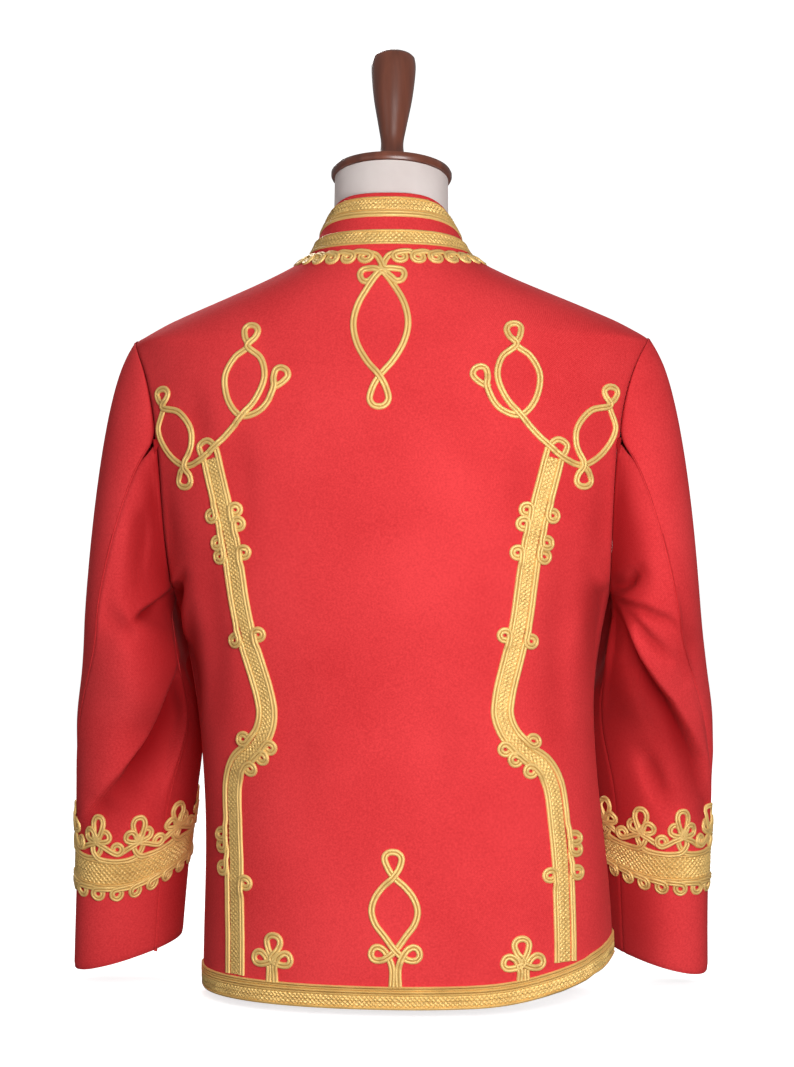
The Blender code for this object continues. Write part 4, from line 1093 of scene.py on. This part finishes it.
def leaf(foot, tip, width, hand):
    sides = []
    for sign, shares in ((hand, (0.15, 0.32, 0.5, 0.68, 0.85)), (-hand, (0.85, 0.68, 0.5, 0.32, 0.15))):
        bulge = [sign * width / 2 * math.sin(math.pi * t) ** 0.9 for t in shares]
        sides.append([(x, foot + (tip - foot) * t) for x, t in zip(bulge, shares)])
    return sides


def centreMotifs():
    up, down = leaf(0.648, 0.555, 0.048, -1)
    path = [(-0.001, 0.656), (0.0015, 0.651), *eyelet((0.003, 0.650), -25, (0.0175, 0.0115), -1), (0, 0.648)]
    path += up + [(0, 0.555), *eyelet((0, 0.555), -90, (0.027, 0.0165), 1), (0, 0.555)]
    path += down + [(0, 0.648), *eyelet((-0.003, 0.650), -155, (0.0175, 0.0115), 1)]
    path += [(-0.0015, 0.651), (0.001, 0.656)]
    layCord("centre_motif_upper", path, onBack, "upper")
    up, down = leaf(0.062, 0.121, 0.040, -1)
    path = [(0.003, 0.027), (0.003, 0.044), *eyelet((0.004, 0.052), 15, (0.0175, 0.0115), 1), (0.002, 0.056)]
    path += up + [(0, 0.121), *eyelet((0, 0.121), 90, (0.0215, 0.0150), -1), (0, 0.121)]
    path += down + [(-0.002, 0.056), *eyelet((-0.004, 0.052), 165, (0.0175, 0.0115), 1)]
    path += [(-0.003, 0.044), (-0.003, 0.027)]
    layCord("centre_motif_lower", path, onBack, "lower")


sideLines = {
    "line": ((0.1505, 0.484), (0.1330, 0.412), (0.1214, 0.338), (0.1050, 0.276), (0.1034, 0.259),
             (0.1085, 0.243), (0.1216, 0.2265), (0.1340, 0.216), (0.1415, 0.199), (0.1445, 0.159),
             (0.1455, 0.100)),
    "foot": {"left": 0.029, "right": 0.044},
    "weave": 0.0088,
    "height": 0.0016,
    "archRise": 0.016,
    "outer": (0.430, 0.414, 0.400, 0.320, 0.233, 0.153, 0.137, 0.121),
    "inner": (0.436, 0.421, 0.406, 0.325, 0.232, 0.223, 0.2145, 0.115),
    "coil": 0.0043,
}


def sideLine(side, mirror):
    line = smoothLine([*sideLines["line"], (sideLines["line"][-1][0], sideLines["foot"][side])], perSpan=6)
    dense = evenly(line, bandSteps["along"])
    columns = bandColumns((("weave", sideLines["weave"]),), sideLines["height"])
    half = sideLines["weave"] / 2
    flat = np.stack([flipped(offsetLine(dense, half - d), mirror) for d in columns["offset"]], axis=1)
    runs = np.arange(len(dense)) * bandSteps["along"]
    layBand("side_braid_" + side, flat, columns, runs, onBack, bandGold, goldThread["lattice"])
    reach = half + cords["width"] / 2 - 0.0003
    edges = {"outer": offsetLine(line, reach), "inner": offsetLine(line, -reach)}
    ends = {}
    for edge in edges:
        where = {int(np.argmin(np.abs(edges[edge][:, 1] - spot))) for spot in sideLines[edge]}
        ends[edge] = withCoils(edges[edge], where, 1 if edge == "outer" else -1, sideLines["coil"])
    middle = (edges["outer"][0] + edges["inner"][0]) / 2 + (0.004, sideLines["archRise"])
    arch = [tuple(middle + (0.0075, -0.005)), tuple(middle), tuple(middle + (-0.0075, -0.005))]
    path = ends["outer"][::-1] + arch + ends["inner"]
    layCord("side_cord_" + side, flipped(path, mirror), onBack, "back" + side)


scrolls = {
    "start": (0.093, 0.546), "base": (0.122, 0.521), "top": (0.118, 0.583), "waist": (0.176, 0.478),
    "outerTop": (0.199, 0.531), "eyelet": (0.0190, 0.0125),
}


def scroll(side, mirror):
    s = scrolls
    path = [(0.0955, 0.5445), *eyelet(s["start"], 118, (0.0185, 0.0125), 1), s["start"]]
    path += [(0.104, 0.527), s["base"], (0.134, 0.533), (0.1385, 0.556), (0.130, 0.573), s["top"]]
    path += [*eyelet(s["top"], 100, s["eyelet"], -1), s["top"], (0.106, 0.572), (0.102, 0.556)]
    path += [(0.109, 0.537), s["base"], (0.134, 0.507), (0.147, 0.494), (0.162, 0.482)]
    path += [s["waist"], (0.192, 0.488), (0.204, 0.510), s["outerTop"]]
    path += [*eyelet(s["outerTop"], 85, (0.0165, 0.0115), -1), s["outerTop"]]
    path += [(0.183, 0.526), (0.171, 0.511), (0.170, 0.496), s["waist"]]
    path += [*eyelet(s["waist"], -88, s["eyelet"], -1), (0.177, 0.476)]
    layCord("scroll_" + side, flipped(path, mirror), onBack, "back" + side)


def trefoil(side, mirror):
    x, foot = 0.1095, 0.026 if mirror > 0 else 0.031
    path = [(x + 0.003, foot), (x + 0.003, 0.040), *eyelet((x + 0.002, 0.043), 20, (0.0155, 0.0105), 1)]
    path += [(x, 0.046), *eyelet((x, 0.047), 95, (0.0200, 0.0125), -1), (x, 0.046)]
    path += [*eyelet((x - 0.002, 0.043), 160, (0.0155, 0.0105), 1), (x - 0.003, 0.040), (x - 0.003, foot)]
    layCord("trefoil_" + side, flipped(path, mirror), onBack, "foot" + side)


neckChain = {
    "start": ((0.0006, 0.0200), (0.0022, 0.0135), (0.0060, 0.0070)),
    "drop": 0.0046,
    "first": 0.0138,
    "step": 0.0150,
    "coil": 0.0046,
    "count": {"left": 17, "right": 15},
}


def chain(side, mirror):
    drop = neckChain["drop"]
    path = list(neckChain["start"])
    for i in range(neckChain["count"][side]):
        root = (neckChain["first"] + i * neckChain["step"], drop)
        path += [root, *coil(root, 0, neckChain["coil"], 1), (root[0] + 0.0018, drop - 0.0004)]
    layCord("neck_chain_" + side, flipped(path, mirror), atNeck, "neck" + side)


def cuffBraid(side):
    place, girth = cuffPlace(side)
    low, high = cuffs["band"]
    zones = (("rib", 0.0018), ("weave", high - low - 0.0036), ("rib", 0.0018))
    straightBand("cuff_braid_" + side, (0.001, girth - 0.001), low, zones, 0.0022, place, cuffGold,
                 goldThread["cuffLattice"])
    level = low - cuffs["cord"] / 2 + 0.0002
    path = [(0.003, level)]
    for i in range(cuffs["loops"]):
        root = ((i + 0.5) * girth / cuffs["loops"], level)
        path += [root, *coil(root, 0, 0.0043, -1), (root[0] + 0.0016, level)]
    path.append((girth - 0.003, level))
    layCord("cuff_lower_cord_" + side, path, place, "under" + side, cuffs["cord"])
    level = high + cuffs["cord"] / 2 - 0.0002
    step = girth / cuffs["crowns"]
    edge, swag = [(0.003, level)], [(0.003, level + 0.0060)]
    for i in range(cuffs["crowns"]):
        x = (i + 0.5) * step
        ring = eyelet((x, level + 0.0004), 90, (0.0125, 0.0080), -1)
        edge += [(x - 0.0025, level), *ring, (x + 0.0025, level)]
        knot = (x, level + 0.0145)
        swag += [(x - 0.0085, level + 0.0100), knot, *eyelet(knot, 146, (0.0132, 0.0090), -1), knot]
        swag += [*eyelet(knot, 90, (0.0215, 0.0108), -1), knot, *eyelet(knot, 34, (0.0132, 0.0090), -1), knot]
        swag.append((x + 0.0085, level + 0.0100))
        if i < cuffs["crowns"] - 1:
            low = (x + step / 2, level + 0.0049)
            swag += [low, *coil(low, 0, 0.0042, 1), (low[0] + 0.0014, low[1])]
    edge.append((girth - 0.003, level))
    swag.append((girth - 0.003, level + 0.0060))
    layCord("cuff_upper_cord_" + side, edge + swag[::-1], place, "over" + side, cuffs["cord"])


centreMotifs()
for side, mirror in (("left", 1), ("right", -1)):
    sideLine(side, mirror)
    scroll(side, mirror)
    trefoil(side, mirror)
    chain(side, mirror)
    cuffBraid(side)
print("cord laid")


# Thickness of the cloth, its finish and its place on the body

for node, piece in sheets.items():
    applied(piece, "SOLIDIFY", thickness=cloth["thickness"], offset=-1, use_even_offset=False)
    takeUp(piece)
    bpy.ops.object.shade_smooth_by_angle(angle=math.radians(75))
    setOnBody(piece, wool, "red_cloth", node)
print("cloth finished")


# The dress form

formTop = {"tilt": 12, "capRadius": 0.0552, "capThick": 0.0085, "steps": 72}


def formBody():
    piece = copyOfSolid("form_torso", "form_body")
    for face in piece.data.polygons:
        face.select = face.center.z < 0.002 or (face.center.z > 0.72 and face.normal.z > 0.7)
    takeUp(piece)
    bpy.ops.object.mode_set(mode="EDIT")
    bpy.ops.mesh.select_mode(type="FACE")
    bpy.ops.mesh.delete(type="FACE")
    bpy.ops.object.mode_set(mode="OBJECT")
    applied(piece, "SUBSURF", levels=2, render_levels=2)
    takeUp(piece)
    bpy.ops.object.mode_set(mode="EDIT")
    bpy.ops.mesh.select_all(action="SELECT")
    bpy.ops.mesh.fill_holes(sides=0)
    bpy.ops.mesh.select_all(action="SELECT")
    bpy.ops.mesh.normals_make_consistent(inside=False)
    bpy.ops.object.mode_set(mode="OBJECT")
    bpy.ops.object.shade_smooth_by_angle(angle=math.radians(40))
    setOnBody(piece, linen, "form_linen", "form_torso")


def spun(name, profile, place, steps):
    # a turned piece: its profile is spun round Z and set at its place
    letGo()
    bpy.ops.mesh.primitive_plane_add(size=0.01)
    piece = bpy.context.object
    piece.name = piece.data.name = name
    bpy.ops.object.mode_set(mode="EDIT")
    bpy.ops.mesh.select_mode(type="VERT")
    bpy.ops.mesh.select_all(action="SELECT")
    bpy.ops.mesh.merge(type="CENTER")
    for (r0, h0), (r1, h1) in zip([(0, 0)] + list(profile), profile):
        if (r0, h0) != (r1, h1):
            bpy.ops.mesh.extrude_vertices_move(TRANSFORM_OT_translate={"value": (r1 - r0, 0, h1 - h0)})
    bpy.ops.mesh.select_all(action="SELECT")
    bpy.ops.mesh.spin(steps=steps, angle=2 * math.pi, center=(0, 0, 0), axis=(0, 0, 1))
    bpy.ops.mesh.select_all(action="SELECT")
    bpy.ops.mesh.remove_doubles(threshold=1e-6)
    bpy.ops.mesh.normals_make_consistent(inside=False)
    bpy.ops.object.mode_set(mode="OBJECT")
    piece.data.transform(place)
    bpy.ops.object.shade_smooth_by_angle(angle=math.radians(40))
    return piece


def rounded(profile, per=6):
    line = smoothLine(profile, perSpan=per)
    return [(max(r, 0.0), h) for r, h in line]


def formHead():
    tilt = math.radians(formTop["tilt"])
    low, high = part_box("form_cap")
    middle = (low + high) / 2
    turn = Matrix.Translation(middle) @ Matrix.Rotation(tilt, 4, "X")
    r, t = formTop["capRadius"], formTop["capThick"]
    rim = [(r - 0.0035, -t / 2), (r - 0.0010, -t / 2 + 0.0006), (r, -t / 2 + 0.0026), (r, t / 2 - 0.0030)]
    rim += [(r - 0.0012, t / 2 - 0.0008), (r - 0.0045, t / 2)]
    cap = spun("form_disc", [(0, -t / 2), *rim, (0, t / 2)], turn, formTop["steps"])
    setOnBody(cap, mahogany, "dark_wood", "form_cap")
    foot = [(0.0168, 0.0), (0.0176, 0.0014), (0.0170, 0.0040), (0.0148, 0.0058)]
    bead = [(0.0148, 0.0058), (0.0155, 0.0070), (0.0150, 0.0092), (0.0128, 0.0120)]
    stem = [(0.0128, 0.0120), (0.0110, 0.0180), (0.0104, 0.0270), (0.0130, 0.0430), (0.0178, 0.0700)]
    stem += [(0.0202, 0.0930), (0.0204, 0.1030), (0.0194, 0.1090)]
    crown = [(0.0194, 0.1090), (0.0165, 0.1117), (0.0100, 0.1129)]
    profile = [(0, 0), *rounded(foot)]
    for stretch in (bead, stem, crown):
        profile += rounded(stretch)[1:]
    profile.append((0, 0.1130))
    perch = turn @ Matrix.Translation((0, 0, t / 2 + 0.0003))
    handle = spun("form_handle", profile, perch, formTop["steps"])
    setOnBody(handle, mahogany, "dark_wood", "form_finial")


formBody()
formHead()
print("form made")


# Buttons down the front

buttons = {"radius": 0.0100, "height": 0.0065, "count": 7, "steps": 36}


def buttonFor(node):
    low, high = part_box(node)
    middle = (low + high) / 2
    spot, out, _, _ = bodyTree.ray_cast(Vector((middle.x, -0.5, middle.z)), Vector((0, 1, 0)))
    turn = Vector((0, 0, 1)).rotation_difference(out).to_matrix().to_4x4()
    r, h = buttons["radius"], buttons["height"]
    rises = np.linspace(0.12, math.pi / 2 - 0.05, 9)
    dome = [(r * math.cos(a), h * (0.34 + 0.66 * math.sin(a))) for a in rises]
    profile = [(0, 0), (r * 0.72, 0), (r * 0.94, h * 0.06), (r, h * 0.16)]
    profile += [(r * 0.985, h * 0.30), (r * 0.93, h * 0.34)]
    profile += [(x * 0.93, z) for x, z in dome] + [(0, h)]
    seat = Matrix.Translation(spot + out * 0.0004) @ turn
    piece = spun("brass_" + node, profile, seat, buttons["steps"])
    setOnBody(piece, brass, "brass", node)


for i in range(buttons["count"]):
    buttonFor(f"button_{i + 1}")
print("buttons made")


# Floor, light and camera

studio = {
    "aim": (-0.0092, 0.0, 0.418),
    "distance": 2.3,
    "azimuth": 185,
    "upright": 23.9,       # angle of view over the picture's height
    "room": (0.08, 0.40),  # soft light from below and from above
    "backdrop": 0.93,
    "floorGlow": 0.72,
}


def glowing(name, strength):
    material, _, shader = nodesFor(name)
    setInputs(shader, {"Base Color": (0.92, 0.92, 0.92, 1), "Roughness": 0.9})
    setInputs(shader, {"Emission Color": (1, 1, 1, 1), "Emission Strength": strength})
    return material


letGo()
bpy.ops.mesh.primitive_plane_add(size=60, location=(0, 0, -0.0005))
floor = bpy.context.object
floor.name = "floor"
floor.data.materials.append(glowing("paleFloor", studio["floorGlow"]))
letGo()
bpy.ops.mesh.primitive_uv_sphere_add(segments=48, ring_count=24, radius=20)
backdrop = bpy.context.object
backdrop.name = "backdrop"
backdrop.data.materials.append(glowing("paleBackdrop", studio["backdrop"]))
for stage in (floor, backdrop):
    stage.visible_diffuse = stage.visible_glossy = False

world = bpy.data.worlds.new("softRoom")
bpy.context.scene.world = world
world.use_nodes = True
tree = world.node_tree
way = addNode(tree, "SeparateXYZ", {"Vector": addNode(tree, "TexCoord").outputs["Generated"]})
below, above = studio["room"]
slope = {"Value": way.outputs["Z"], "From Min": -1.0, "To Min": below, "To Max": above}
room = addNode(tree, "MapRange", slope)
tree.links.new(room.outputs["Result"], tree.nodes["Background"].inputs["Strength"])
tree.nodes["Background"].inputs["Color"].default_value = (1, 1, 1, 1)


def softBox(name, spot, size, power):
    bpy.ops.object.light_add(type="AREA", location=spot)
    lamp = bpy.context.object
    lamp.name = name
    lamp.data.shape = "RECTANGLE"
    lamp.data.size, lamp.data.size_y = size
    lamp.data.energy = power
    way = Vector((0, 0, 0.45)) - Vector(spot)
    lamp.rotation_euler = way.to_track_quat("-Z", "Y").to_euler()
    lamp.visible_camera = False


softBox("keyLight", (-0.52, 1.55, 0.52), (0.8, 0.8), 26)
softBox("fillLight", (1.9, 2.1, 0.9), (1.2, 1.2), 3)
softBox("frontLight", (0.60, -1.7, 1.7), (0.9, 0.9), 27)

a = math.radians(studio["azimuth"])
bpy.ops.object.camera_add()
camera = bpy.context.object
aim = Vector(studio["aim"])
camera.location = aim + studio["distance"] * Vector((math.sin(a), -math.cos(a), 0))
camera.rotation_euler = (aim - camera.location).to_track_quat("-Z", "Y").to_euler()
camera.data.sensor_width = 36
camera.data.lens = 18 / math.tan(math.radians(studio["upright"]) / 2)
camera.data.clip_end = 100
bpy.context.scene.camera = camera

bpy.context.scene.view_settings.view_transform = "Standard"
